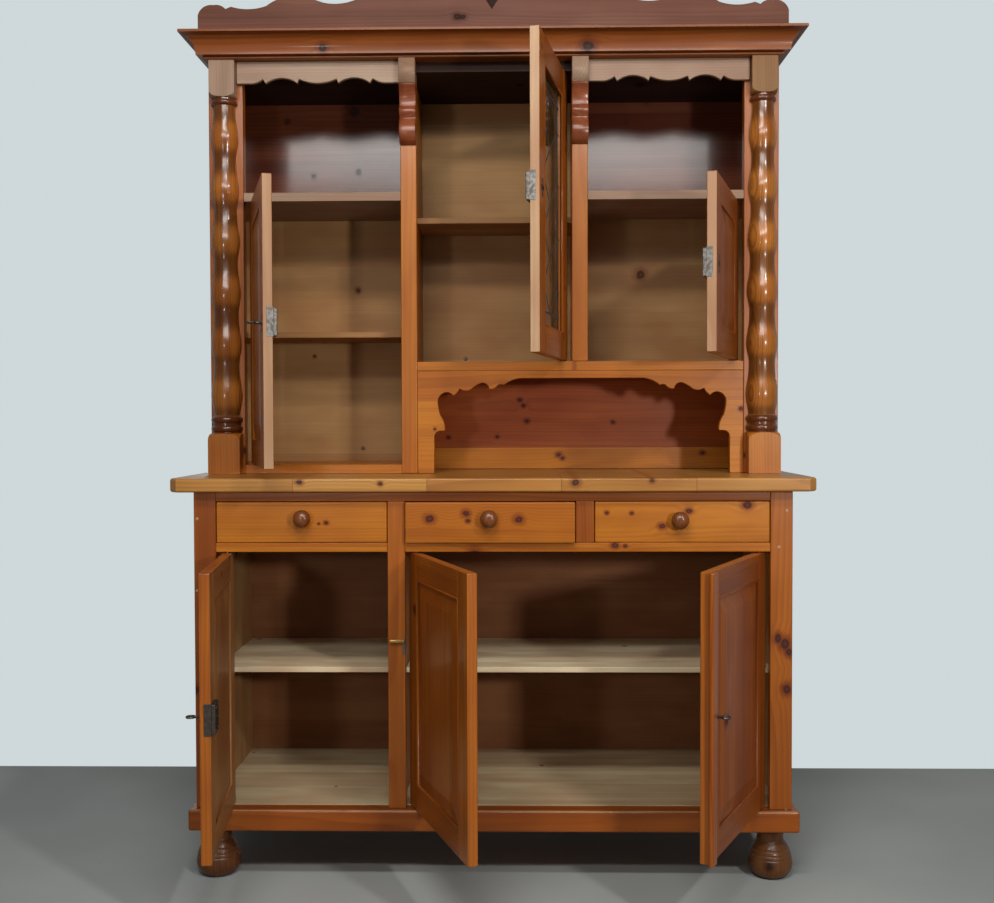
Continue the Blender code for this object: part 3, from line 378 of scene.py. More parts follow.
def wood(finish, grain, plank=0.12, knots=0.30, rings=0.007, marks=(), blocks=0.0, shaft=0.0):
    """Pine from glued planks: year rings, streaks, fibres, and knots that the rings bend round."""
    name = f"pine_{finish}_{grain}_{round(plank * 1000)}_{round(knots * 100)}_{round(rings * 1e4)}"
    if marks:
        name += "_knotty"
    elif name in bpy.data.materials:
        return bpy.data.materials[name]
    *colours, figure, roughness, coat = FINISHES[finish]
    light, late, knot = (srgb(*colour) for colour in colours)
    g = Graph(name)
    split = g.add("SeparateXYZ", {0: g.add("TexCoord").outputs["Object"]}).outputs
    along, across, through = (split[i] for i in GRAIN[grain])
    seed = g.add("ObjectInfo").outputs["Random"]

    cell = g.scaled(across, 1 / plank, g.times(seed, 7.3))
    index = g.math("FLOOR", cell)
    local = g.times(g.minus(g.math("FRACT", cell), 0.5), plank)
    stave = g.times(seed, 91.0)
    if blocks:
        run = g.scaled(along, 1 / blocks, g.times(index, 0.37))
        stave = g.plus(stave, g.math("FLOOR", run))
    chance = g.add("TexWhiteNoise", {"Vector": g.vector(index, stave, 0.0)})
    first, second, third = g.add("SeparateColor", {0: chance.outputs["Color"]}).outputs
    moved = g.scaled(third, 9.0, along)

    ragged = g.noise(g.vector(moved, across, 0.0), 75.0, 3.0)[0]
    nearest = knots_of(g, along, across, moved, local, index, knots, marks)
    nearest = g.scaled(g.minus(ragged, 0.5), 1.1, nearest)
    year = year_rings(g, moved, local, through, g.fade(nearest, 5.5, 0.5), (first, second), plank, rings)

    def streaks(length, width, detail):
        at = g.vector(g.times(moved, length), g.times(local, width), g.times(through, width))
        return g.noise(at, 1.0, detail)[0]

    fibre, band, cloud = streaks(8.0, 420.0, 3.0), streaks(1.2, 34.0, 2.0), streaks(5.0, 11.0, 2.0)
    colour = g.mix(g.times(year, figure), light, late)
    colour = g.mix(g.fade(band, 0.40, 0.72, 0.0, figure), colour, late)
    colour = g.mix(g.fade(fibre, 0.45, 0.80, 0.0, 0.4 * figure), colour, late)
    patch = g.scaled(g.minus(second, 0.5), 0.5, cloud)
    tone = [g.fade(patch, 0.2, 0.8, 1 - spread, 1 + spread * 0.8) for spread in (0.14, 0.23, 0.26)]
    colour = g.mix(1.0, colour, g.add("CombineColor", dict(enumerate(tone))).outputs[0], "MULTIPLY")
    if blocks:
        joint = g.math("ABSOLUTE", g.minus(g.math("FRACT", run), 0.5))
        colour = g.mix(g.fade(joint, 0.4955, 0.4985, 0.0, 0.5), colour, knot)
    # Painted shade: the waists of a column's shaft are darkened towards the knot colour.
    if shaft:
        colour = g.mix(g.times(painted_waist_shade(g, split, shaft), 0.60), colour, knot)
    glow = (late[0] * 0.72, late[1] * 0.46, late[2] * 0.40, 1.0)
    colour = g.mix(g.fade(nearest, 2.8, 1.0, 0.0, 0.75), colour, glow)
    colour = g.mix(g.fade(nearest, 1.25, 0.75), colour, knot)
    colour = g.mix(g.fade(nearest, 0.60, 0.15, 0.0, 0.28), colour, late)
    rough = g.scaled(fibre, 0.14, g.fade(nearest, 0.6, 1.6, roughness + 0.12, roughness - 0.07))
    g.bump(g.scaled(year, -0.5, fibre), 0.08 if coat else 0.20, 0.0005)
    return g.finish(
        Base_Color=colour, Roughness=rough, Specular_IOR_Level=BARE_SHEEN + COAT_SHEEN * coat,
        Coat_Weight=coat, Coat_Roughness=0.12)


def clear(finish, grain, marks=()):
    """Pine of one wide plank, with none but the listed knots."""
    return wood(finish, grain, plank=0.30, knots=0.0, marks=marks)


def metal(name, bright, dull, rust):
    """Worked iron with darker patches and a little rust."""
    if name in bpy.data.materials:
        return bpy.data.materials[name]
    g = Graph(name)
    place = g.add("TexCoord").outputs["Object"]
    patch = g.noise(place, 130.0, 5.0)[0]
    grain = g.noise(place, 900.0, 2.0)[0]
    colour = g.ramp(patch, [(0.35, bright), (0.58, dull), (0.78, rust)])
    g.bump(grain, 0.25, 0.0004)
    rough = g.fade(patch, 0.3, 0.7, 0.35, 0.60)
    return g.finish(Base_Color=colour, Roughness=rough, Metallic=0.7)


def iron():
    return metal("iron", srgb(88, 80, 74), srgb(60, 53, 48), srgb(92, 56, 36))


def steel():
    """Brighter sheet iron of the locks."""
    return metal("steel", srgb(118, 114, 110), srgb(86, 82, 78), srgb(92, 72, 54))


def keyhole_shade():
    """Painted shade: the dark inside of a keyhole, as near-black iron."""
    return metal("keyhole_shade", srgb(22, 19, 18), srgb(14, 12, 12), srgb(26, 18, 14))


def brass():
    return metal("brass", srgb(196, 158, 88), srgb(160, 120, 60), srgb(110, 78, 40))


def lead():
    if "lead" in bpy.data.materials:
        return bpy.data.materials["lead"]
    g = Graph("lead")
    patch = g.noise(g.add("TexCoord").outputs["Object"], 220.0, 4.0)[0]
    colour = g.ramp(patch, [(0.3, srgb(58, 58, 58)), (0.7, srgb(96, 96, 94))])
    g.bump(patch, 0.2, 0.0004)
    return g.finish(Base_Color=colour, Roughness=0.55, Metallic=0.6)


def glass(name, tint):
    """Wavy hand-made glass of one tint."""
    g = Graph(name)
    place = g.add("TexCoord").outputs["Object"]
    g.bump(g.noise(place, 26.0, 2.0)[0], 0.35, 0.002)
    deep = tuple(v * 0.45 for v in tint[:3]) + (1.0,)
    colour = g.mix(g.fade(g.noise(place, 14.0)[0], 0.3, 0.7), tint, deep)
    return g.finish(Base_Color=colour, Roughness=0.12, Transmission_Weight=0.7, IOR=1.45)


def link(made, material, body, smooth=False):
    """Puts a piece in the scene, finishes it and hangs it on its body."""
    if made.name not in bpy.context.scene.collection.objects:
        bpy.context.scene.collection.objects.link(made)
    if material:
        made.data.materials.clear()
        made.data.materials.append(material)
    if smooth and made.type == "MESH":
        made.data.shade_smooth()
        made.data.set_sharp_from_angle(angle=math.radians(38))
    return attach(made, body)


def mesh_object(name, bm):
    mesh = bpy.data.meshes.new(name)
    bm.to_mesh(mesh)
    bm.free()
    return bpy.data.objects.new(name, mesh)


def board_mesh(size, edge=EDGE):
    """A board with worn edges, centred on its origin."""
    bm = bmesh.new()
    bmesh.ops.create_cube(bm, size=1.0)
    bmesh.ops.scale(bm, vec=size, verts=bm.verts)
    if edge:
        bmesh.ops.bevel(
            bm, geom=bm.edges[:], offset=min(edge, min(size) / 3), segments=2, profile=0.5, affect="EDGES")
    return bm


def slab(name, low, high, material, body, at=Matrix(), edge=EDGE, slot="varnished_pine"):
    """A board between two corners of the frame that at describes."""
    low, high = Vector(low), Vector(high)
    made = mesh_object(name, board_mesh(high - low, edge))
    made.matrix_world = at @ Matrix.Translation((low + high) / 2)
    if edge:
        soften(made)
    return link(made, material, body)


def soften(made):
    """Shades worn edges round and leaves the wide faces flat."""
    made.data.shade_smooth()
    made.modifiers.new("normals", "WEIGHTED_NORMAL").keep_sharp = True


# Knots on the front of a board: x, height above the floor and radius
KNOTS = {
    "drawer_left": ((-0.362, 0.791, 0.0042), (-0.378, 0.789, 0.0025)),
    "drawer_middle": ((-0.135, 0.801, 0.0085), (-0.056, 0.812, 0.0070), (-0.052, 0.796, 0.0045),
                      (0.059, 0.799, 0.0080)),
    "drawer_right": ((0.250, 0.812, 0.0038), (0.304, 0.811, 0.0036), (0.370, 0.783, 0.0065),
                     (0.428, 0.816, 0.0060), (0.555, 0.829, 0.0090), (0.361, 0.846, 0.0045)),
    "base_stile_right": ((0.641, 0.427, 0.0095), (0.622, 0.538, 0.0085), (0.637, 0.526, 0.0110),
                         (0.646, 0.508, 0.0080)),
    "drawer_rail_right": ((0.268, 0.741, 0.0065), (0.290, 0.740, 0.0040)),
    "worktop": ((-0.415, 0.882, 0.0060), (0.181, 0.880, 0.0075), (0.345, 0.884, 0.0050),
                (-0.240, 0.878, 0.0045)),
    "cornice": ((-0.386, 1.8635, 0.0085), (0.218, 1.8626, 0.0125)),
    "crest": ((-0.078, 1.9355, 0.0080), (-0.066, 1.9345, 0.0060)),
    "back_niche": ((0.062, 1.066, 0.0050), (0.072, 1.052, 0.0050), (0.080, 1.012, 0.0055),
                   (0.301, 1.009, 0.0045), (0.004, 0.972, 0.0040), (-0.122, 0.970, 0.0045)),
    "back_cleat": ((0.160, 0.926, 0.0060), (0.170, 0.917, 0.0050), (0.527, 0.930, 0.0055)),
}


def marks_on(node, centre, upright=False):
    """The listed knots of a board, along and across its grain, seen from its own centre."""
    marks = [(x - centre.x, z - centre.z, radius) for x, z, radius in KNOTS.get(node, ())]
    return [(v, u, radius) for u, v, radius in marks] if upright else marks


def dress_boards():
    """Each plain board of the frame gets worn edges and its own grain."""
    kinds = {
        ("z", "frame"): ("base_stile_left", "base_stile_right", "short_stile"),
        ("z", "rail"): ("mid_stile",),
        ("z_side", "frame"): ("base_side_left", "base_side_right"),
        ("x", "frame"): ("top_rail", "base_board"),
        ("x", "front"): ("drawer_rail_left", "drawer_rail_right", "back_cleat"),
        ("x", "inside"): ("hutch_back",),
        ("x", "brown"): ("base_back",),
        ("x_flat", "inside"): ("drawer_deck", "inner_shelf_left", "inner_shelf_centre"),
        ("x_flat", "pale"): ("base_shelf_left", "base_shelf_right"),
        ("z_side", "brown"): ("base_partition",),
        ("y", "inside"): ("drawer_divider_left", "drawer_divider_right"),
    }
    for (grain, finish), names in kinds.items():
        for node in names:
            low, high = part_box(node)
            bare = finish in ("inside", "pale", "brown")
            plinth = node == "base_board"
            marks = marks_on(node, (low + high) / 2, grain == "z")
            share = 0.0 if plinth or node == "back_cleat" or finish == "brown" else 0.08 if bare else 0.16
            made = slab(
                node + "_dressed", low, high, wood(finish, grain, knots=share, marks=marks), "cabinet",
                edge=THICK_EDGE if plinth else EDGE, slot="raw_pine" if bare else "varnished_pine")
            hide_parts(node)
            if plinth:
                # Painted highlight: the plinth's upper bevel takes the pale edge colour as a glint.
                second_face(made, GLINT_FACING, wood("edge", "x"), 0.97)
            if node.startswith("base_side"):
                way = 1 if node.endswith("left") else -1
                second_face(made, (way, 0, 0), wood("inside", "z_side"))


def second_face(made, normal, material, alike=0.7):
    """Gives the faces that look one way, such as the inside of a door, another finish."""
    made.data.materials.append(material)
    for face in made.data.polygons:
        if face.normal.dot(normal) > alike:
            face.material_index = len(made.data.materials) - 1


def round_edges(node, material, width=0.002):
    """Keeps a CAD piece and only eases its edges."""
    made = NODES[node]
    weld = made.modifiers.new("weld", "WELD")
    weld.merge_threshold = 0.00002
    bevel = made.modifiers.new("edges", "BEVEL")
    bevel.width = width
    bevel.segments = 2
    bevel.limit_method = "ANGLE"
    bevel.angle_limit = math.radians(50)
    bevel.harden_normals = True
    made.data.materials.clear()
    made.data.materials.append(material)


def dress_shaped_boards():
    for side in ("left", "right"):
        round_edges(f"hutch_side_{side}", wood("frame", "z_side"))
        round_edges(f"hutch_partition_{side}", wood("front", "z"))
        round_edges(f"hutch_floor_{side}", wood("front", "x_flat"))
        round_edges(f"open_shelf_{side}", wood("block", "x_flat", plank=0.10, knots=0.0))
    # Painted shade: the hutch ceiling is made near black for the shadow under the cornice.
    round_edges("hutch_ceiling", wood("ebony", "x_flat"))
    staves = wood("top", "x", plank=0.21, knots=0.15, marks=KNOTS["worktop"], blocks=0.29)
    round_edges("worktop", staves, THICK_EDGE)


def line_cupboards():
    """Facings: pale floor boards below, varnished backs in the open niches."""
    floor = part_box("base_board")[1].z
    left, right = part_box("base_side_left")[1].x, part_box("base_side_right")[0].x
    wall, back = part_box("base_partition"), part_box("base_back")[0].y
    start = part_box("base_stile_left")[1].y
    for name, x0, x1 in (("left", left, wall[0].x), ("right", wall[1].x, right)):
        slab(f"base_floor_{name}", (x0, start, floor), (x1, back, floor + SKIN_T),
             wood("grey", "x_flat"), "cabinet", edge=0.0005, slot="raw_pine")

    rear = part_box("hutch_back")[0].y
    side = {s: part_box(f"hutch_side_{s}") for s in ("left", "right")}
    walls = {s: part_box(f"hutch_partition_{s}") for s in ("left", "right")}
    inner_left, inner_right = side["left"][0].x + SIDE_IN, side["right"][1].x - SIDE_IN
    middle = {s: (walls[s][0].x + walls[s][1].x) / 2 for s in walls}
    shelf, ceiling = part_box("open_shelf_left")[1].z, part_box("hutch_ceiling")[0].z
    counter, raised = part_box("worktop")[1].z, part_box("hutch_floor_right")[0].z
    spans = {
        "open_left": (inner_left, middle["left"] - WALL_IN, shelf, ceiling),
        "open_right": (middle["right"] + WALL_IN, inner_right, shelf, ceiling),
        "niche": (middle["left"] + WALL_IN, inner_right, counter, raised),
    }
    for name, (x0, x1, z0, z1) in spans.items():
        centre = Vector(((x0 + x1) / 2, rear, (z0 + SKIN_T + z1) / 2))
        finish, share = ("niche", 0.0) if name == "niche" else ("backs", 0.30)
        marks = marks_on(f"back_{name}", centre)
        slab(f"back_{name}", (x0, rear - SKIN_T, z0 + SKIN_T), (x1, rear, z1),
             wood(finish, "x", plank=0.14, knots=share, marks=marks), "cabinet", edge=0.0)


def door_frame(body, node):
    """The matrix of a closed door's own frame at rest, and the limits of a solid in it."""
    joint = JOINTS[body]
    turn = math.radians(-joint["range_deg"][0]) * joint["axis"][2]
    at = Matrix.Translation((joint["pos_m"][0], joint["pos_m"][1], 0)) @ Matrix.Rotation(turn, 4, "Z")
    points = [at.inverted() @ v.co for v in NODES[node].data.vertices]
    low = Vector([min(p[i] for p in points) for i in range(3)])
    high = Vector([max(p[i] for p in points) for i in range(3)])
    return at, low, high


class Leaf:
    """A door in its own closed frame: where that stands at rest, its corners and its closing edge."""

    def __init__(self, body):
        self.body = body
        self.at, self.low, self.high = door_frame(body, body)
        self.low.z += PIN_REACH
        self.high.z -= PIN_REACH
        self.middle = (self.low.z + self.high.z) / 2
        closes_right = self.high.x > -self.low.x
        self.edge, self.inward = (self.high.x, -1) if closes_right else (self.low.x, 1)

    def across(self, start, end):
        """Two distances from the closing edge into the leaf, as a range of x."""
        return sorted((self.edge + self.inward * start, self.edge + self.inward * end))

    def slab(self, name, low, high, material, **more):
        return slab(f"{self.body}_{name}", low, high, material, self.body, self.at, **more)


def raised_panel(leaf, low, high, material):
    """A fielded panel: flat border, sloping bevel and raised field on both faces."""
    bm = board_mesh(high - low, 0)
    for sign, rise in ((-1, FIELD_RISE), (1, FIELD_RISE * 0.6)):
        face = [max(bm.faces, key=lambda f: sign * f.normal.y)]
        bmesh.ops.inset_region(bm, faces=face, thickness=FIELD_FLAT + PANEL_TUCK, use_even_offset=True)
        bmesh.ops.inset_region(bm, faces=face, thickness=FIELD_BEVEL, depth=rise, use_even_offset=True)
    made = mesh_object(f"{leaf.body}_panel", bm)
    made.matrix_world = leaf.at @ Matrix.Translation((low + high) / 2)
    return link(made, material, leaf.body)


def closed_line(name, points, dimensions):
    """A curve that runs straight from point to point and back to the first."""
    curve = bpy.data.curves.new(name, "CURVE")
    curve.dimensions = dimensions
    spline = curve.splines.new("POLY")
    spline.points.add(len(points) - 1)
    for target, point in zip(spline.points, points):
        target.co = (*point, 1)
    spline.use_cyclic_u = True
    return curve


def beads(leaf, width, front, back):
    """A round bead inside the frame on each face, with its finish and how deep it sits in radii."""
    low, high = leaf.low, leaf.high
    x0, x1, z0, z1 = low.x + width, high.x - width, low.z + width, high.z - width
    rows = (("front", front[0], low.y + BEAD_R * front[1]), ("back", back[0], high.y - BEAD_R * back[1]))
    for face, finish, y in rows:
        name = f"{leaf.body}_bead_{face}"
        curve = closed_line(name, [(x0, y, z0), (x1, y, z0), (x1, y, z1), (x0, y, z1)], "3D")
        curve.bevel_depth = BEAD_R
        curve.bevel_resolution = 3
        made = bpy.data.objects.new(name, curve)
        made.matrix_world = leaf.at
        link(made, wood(finish, "z", plank=DOOR_PLANK), leaf.body)


def frame_boards(leaf, width, finish):
    """Two stiles and two rails of a door, which take the place of its solid."""
    stile, rail = wood(finish, "z", plank=DOOR_PLANK), wood(finish, "x", plank=DOOR_PLANK)
    low, high = leaf.low, leaf.high
    left, right = low.x + width, high.x - width
    made = [
        leaf.slab("stile_a", low, (left, high.y, high.z), stile),
        leaf.slab("stile_b", (right, low.y, low.z), high, stile),
        leaf.slab("rail_low", (left, low.y, low.z), (right, high.y, low.z + width), rail),
        leaf.slab("rail_top", (left, low.y, high.z - width), (right, high.y, high.z), rail),
    ]
    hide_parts(leaf.body)
    return made


def door_pins(leaf):
    for end, z in (("low", leaf.low.z), ("top", leaf.high.z)):
        bm = bmesh.new()
        bmesh.ops.create_cone(
            bm, cap_ends=True, segments=SMALL_STEPS, radius1=PIN_R, radius2=PIN_R, depth=2 * PIN_REACH)
        made = mesh_object(f"{leaf.body}_pin_{end}", bm)
        made.matrix_world = leaf.at @ Matrix.Translation((0, 0, z))
        link(made, iron(), leaf.body, smooth=True)


def panel_door(body, finish):
    """A framed door with a fielded panel and a bead round it; its edges keep the finish of the frame."""
    leaf = Leaf(body)
    for board, grain in zip(frame_boards(leaf, FRAME_W, "frame"), "zzxx"):
        second_face(board, (0, 1, 0), wood("worn", grain, plank=DOOR_PLANK))
        second_face(board, (0, -1, 0), wood(finish, grain, plank=DOOR_PLANK))
    inset, middle = FRAME_W - PANEL_TUCK, (leaf.low.y + leaf.high.y) / 2
    low = Vector((leaf.low.x + inset, middle - PANEL_T / 2, leaf.low.z + inset))
    high = Vector((leaf.high.x - inset, middle + PANEL_T / 2, leaf.high.z - inset))
    panel = raised_panel(leaf, low, high, wood(finish, "z", plank=PANEL_PLANK, knots=0.25))
    second_face(panel, (0, 1, 0), wood("worn", "z", plank=PANEL_PLANK))
    beads(leaf, FRAME_W, (finish, 0.75), ("worn", 0.9))
    door_pins(leaf)
    return leaf


def closing_strip(leaf):
    """The applied strip that covers the joint of a pair of doors."""
    x0, x1 = leaf.across(-STRIP_LAP, STRIP_W - STRIP_LAP)
    leaf.slab("closing_strip", (x0, leaf.low.y - STRIP_T, leaf.low.z), (x1, leaf.low.y, leaf.high.z),
              wood("frame", "z", plank=0.05), edge=0.0025)


def rim_lock(leaf, z, skin):
    """Iron lock on the inner face: case, rivets and the plate let into the closing edge."""
    width, depth, height = CASE_SIZE
    back = leaf.high.y
    x0, x1 = leaf.across(PLATE_LAP, width)
    leaf.slab("lock_case", (x0, back, z - height / 2), (x1, back + depth, z + height / 2),
              skin, slot="aged_iron")
    plate_w, plate_t, plate_h = PLATE_SIZE
    p0, p1 = leaf.across(-plate_t, PLATE_LAP)
    leaf.slab("lock_plate", (p0, back - plate_w, z - plate_h / 2), (p1, back + PLATE_LAP, z + plate_h / 2),
              skin, edge=0.0004, slot="aged_iron")
    for i, (u, v) in enumerate(RIVETS):
        bm = bmesh.new()
        bmesh.ops.create_uvsphere(bm, u_segments=16, v_segments=8, radius=RIVET_R)
        rivet = mesh_object(f"{leaf.body}_rivet_{i}", bm)
        spot = Matrix.Translation((x0 + u * (x1 - x0), back + depth, z - height / 2 + v * height))
        rivet.matrix_world = leaf.at @ spot @ Matrix.Diagonal((1, 0.5, 1, 1))
        link(rivet, skin, leaf.body, smooth=True)


def lipping(leaf):
    """Thin pale band on the closing edge of an upper door: painted light that the edge catches, on a worn
    edge.
    """
    x0, x1 = leaf.across(-LIP_OUT, LIP_IN)
    low, high = leaf.low, leaf.high
    leaf.slab("lipping", (x0, low.y + LIP_INSET, low.z + LIP_INSET),
              (x1, high.y - LIP_INSET, high.z - LIP_INSET),
              wood("edge", "z", plank=0.30, knots=0.15), edge=0.0002)


def disc(name, place, size, material, body="cabinet"):
    """A small round head that stands on a face turned towards the front."""
    radius, depth = size
    profile = [(0, depth), (radius * 0.75, depth), (radius, depth * 0.4), (radius, 0), (0, 0)]
    made = mesh_object(name, lathe(profile, SMALL_STEPS))
    made.matrix_world = place @ Matrix.Rotation(math.pi / 2, 4, "X")
    return link(made, material, body, smooth=True)


def key_plate(leaf, z):
    """Escutcheon on the outer face, with a keyhole of painted shade."""
    x, front = leaf.edge + leaf.inward * KEY_FROM_EDGE, leaf.low.y
    (width, thick, tall), arm = KEY_PLATE, KEY_PLATE_ARM / 2
    for name, half_w, half_h in (("plate", width / 2, tall / 2), ("plate_arm", arm, width / 2)):
        leaf.slab(f"key_{name}", (x - half_w, front - thick, z - half_h), (x + half_w, front, z + half_h),
                  iron(), edge=0.0005, slot="aged_iron")
    for i, (u, v) in enumerate(((0, tall / 2), (0, -tall / 2), (arm, 0), (-arm, 0))):
        spot = leaf.at @ Matrix.Translation((x + u, front, z + v))
        disc(f"{leaf.body}_key_plate_tip_{i}", spot, KEY_PLATE_TIP, iron(), leaf.body)
    # Painted shade: a near-black disc and slot stand for the keyhole.
    face = front - thick
    spot = leaf.at @ Matrix.Translation((x, face, z + KEYHOLE_UP))
    disc(f"{leaf.body}_keyhole", spot, KEYHOLE, keyhole_shade(), leaf.body)
    (half, low), deep = KEY_SLOT, KEYHOLE[1]
    leaf.slab("keyhole_slot", (x - half, face - deep, z - low), (x + half, face + deep, z + KEYHOLE_UP),
              keyhole_shade(), edge=0, slot="aged_iron")


def build_doors():
    lower = ("lower_left_door", "lower_middle_door", "lower_right_door")
    upper = ("upper_left_door", "upper_right_door")
    leaves = {body: panel_door(body, "ripe" if "right" in body else "frame") for body in lower + upper}
    closing_strip(leaves["lower_right_door"])
    for body in ("lower_left_door",) + upper:
        rim_lock(leaves[body], leaves[body].middle, steel() if body in upper else iron())
    for body in ("lower_left_door", "lower_right_door") + upper:
        key_plate(leaves[body], leaves[body].middle)
    for body in upper:
        lipping(leaves[body])


def build_fittings():
    """Small things on the case: joint pegs, bolts through the back, a turn button and a strike plate."""
    front = Matrix.Translation((0, FRONT_Y, 0))
    for i, (x, z) in enumerate(PEGS):
        spot = front @ Matrix.Translation((x, 0, z))
        disc(f"joint_peg_{i}", spot, PEG_HEAD, clear("edge", "y"))
    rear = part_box("hutch_back")[0].y
    for i, (x, z) in enumerate(BACK_BOLTS):
        disc(f"back_bolt_{i}", Matrix.Translation((x, rear, z)), BOLT_HEAD, iron())
    x, z = TURN_BUTTON
    half_w, half_h = BUTTON_HALF
    near, far = BUTTON_OUT
    slab("turn_button", (x - half_w, -far, z - half_h), (x + half_w, -near, z + half_h), brass(), "cabinet",
         front, edge=0.0018, slot="aged_iron")
    disc("turn_button_screw", front @ Matrix.Translation((x, 0, z)), BUTTON_SCREW, brass())
    seat = Vector((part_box("mid_stile")[1].x, 0, z))
    slab("strike_plate", seat + STRIKE_LOW, seat + STRIKE_HIGH, steel(), "cabinet",
         front, edge=0.0002, slot="aged_iron")


def leaded_door():
    """The glazed door: frame, tinted panes and lead cames in a plain lattice."""
    leaf = Leaf("upper_glazed_door")
    frame_boards(leaf, SIGHT_W, "frame")
    door_pins(leaf)
    lock_z = leaf.middle + GLAZED_LOCK_UP
    rim_lock(leaf, lock_z, steel())
    key_plate(leaf, lock_z)
    lipping(leaf)

    _, low, high = door_frame(leaf.body, "door_glass")
    pane = slab("door_glass_panes", low, high, glass("glass_green", srgb(74, 100, 70)), leaf.body, leaf.at,
                edge=0.0003, slot="green_glass")
    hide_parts("door_glass")
    beads(leaf, SIGHT_W, ("frame", 0.75), ("frame", 0.75))
    cames(leaf, (low.y + high.y) / 2)


def came(leaf, name, start, end, y):
    """One flat lead strip between two points of the pane."""
    run = Vector((end[0] - start[0], 0, end[1] - start[1]))
    made = mesh_object(f"{leaf.body}_{name}", board_mesh((run.length, CAME_T, CAME_W), 0.0012))
    middle = Matrix.Translation(((start[0] + end[0]) / 2, y, (start[1] + end[1]) / 2))
    made.matrix_world = leaf.at @ middle @ Matrix.Rotation(-math.atan2(run.z, run.x), 4, "Y")
    link(made, lead(), leaf.body)


def cames(leaf, y):
    """A border of small panes round a lattice of lozenges."""
    x0, x1 = leaf.low.x + SIGHT_W, leaf.high.x - SIGHT_W
    z0, z1 = leaf.low.z + SIGHT_W, leaf.high.z - SIGHT_W
    left, right, low, high = x0 + CAME_BORDER, x1 - CAME_BORDER, z0 + CAME_BORDER, z1 - CAME_BORDER
    lines = [((left, z0), (left, z1)), ((right, z0), (right, z1))]
    lines += [((x0, low), (x1, low)), ((x0, high), (x1, high))]
    middle, step = (left + right) / 2, (high - low) / CAME_ROWS
    for row in range(CAME_ROWS):
        foot = low + row * step
        side, head = foot + step / 2, foot + step
        lines += [((middle, foot), (left, side)), ((middle, foot), (right, side))]
        lines += [((left, side), (middle, head)), ((right, side), (middle, head))]
        lines += [((x0, side), (left, side)), ((right, side), (x1, side))]
    for i, (start, end) in enumerate(lines):
        came(leaf, f"came_{i}", start, end, y)


def lathe(profile, steps):
    """A turned mesh; the profile of radius and height runs from top to bottom."""
    bm = bmesh.new()
    verts = [bm.verts.new((radius, 0, height)) for radius, height in profile]
    for upper, lower in zip(verts, verts[1:]):
        bm.edges.new((upper, lower))
    bmesh.ops.spin(
        bm, geom=bm.verts[:] + bm.edges[:], cent=(0, 0, 0), axis=(0, 0, 1), angle=math.tau, steps=steps)
    bmesh.ops.remove_doubles(bm, verts=bm.verts, dist=0.00002)
    bmesh.ops.recalc_face_normals(bm, faces=bm.faces)
    return bm


def turned(name, profile, material, body, location, rotation=(0, 0, 0), steps=ROUND_STEPS):
    made = mesh_object(name, lathe(profile, steps))
    made.location = location
    made.rotation_euler = rotation
    return link(made, material, body, smooth=True)


def arc(start, through, end, points):
    """Points on the circle through three points, without the first one."""
    (ax, ay), (bx, by), (cx, cy) = start, through, end
    d = 2 * (ax * (by - cy) + bx * (cy - ay) + cx * (ay - by))
    a2, b2, c2 = ax * ax + ay * ay, bx * bx + by * by, cx * cx + cy * cy
    ox = (a2 * (by - cy) + b2 * (cy - ay) + c2 * (ay - by)) / d
    oy = (a2 * (cx - bx) + b2 * (ax - cx) + c2 * (bx - ax)) / d
    first, last = math.atan2(ay - oy, ax - ox), math.atan2(cy - oy, cx - ox)
    turn = (last - first) % math.tau
    if (math.atan2(by - oy, bx - ox) - first) % math.tau > turn:
        turn -= math.tau
    radius = math.hypot(ax - ox, ay - oy)
    angles = [first + turn * (i + 1) / points for i in range(points)]
    return [(ox + radius * math.cos(a), oy + radius * math.sin(a)) for a in angles]


def scallops(start, arcs, points=12):
    line = [start]
    for through, end in arcs:
        line += arc(line[-1], through, end, points)
    return line


def build_feet():
    """Bun feet: collar, hollow neck, a ball with lines cut round it and a flat sole."""
    for depth in ("front", "rear"):
        for side in ("left", "right"):
            node = f"foot_{depth}_{side}"
            low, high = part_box(node)
            centre = (low + high) / 2
            height, radius = high.z - low.z, (high.x - low.x) / 2
            neck, collar = radius * FOOT_NECK, radius * FOOT_COLLAR
            profile = [(0, height), (collar - 0.001, height), (collar, height - 0.001)]
            profile.append((collar, height * 0.94))
            profile += arc(profile[-1], (neck, height * 0.80), (neck * 1.06, height * 0.69), 10)
            shoulder = arc(profile[-1], (radius * 0.90, height * 0.485), (radius, height * 0.295), 48)
            profile += [(r - groove(z / height), z) for r, z in shoulder]
            profile += arc(profile[-1], (radius * 0.90, height * 0.10), (radius * 0.64, 0.0), 12)
            profile += [(0, 0)]
            marks = [FOOT_KNOT] if node == "foot_front_right" else ()
            material = clear("foot", "z", marks=marks)
            foot = turned(f"{node}_turned", profile, material, "cabinet", (centre.x, centre.y, low.z))
            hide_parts(node)


def groove(share):
    """Depth of the lines cut round a foot, at a share of its height."""
    return sum(0.0012 * math.exp(-((share - line) / 0.010) ** 2) for line in FOOT_LINES)


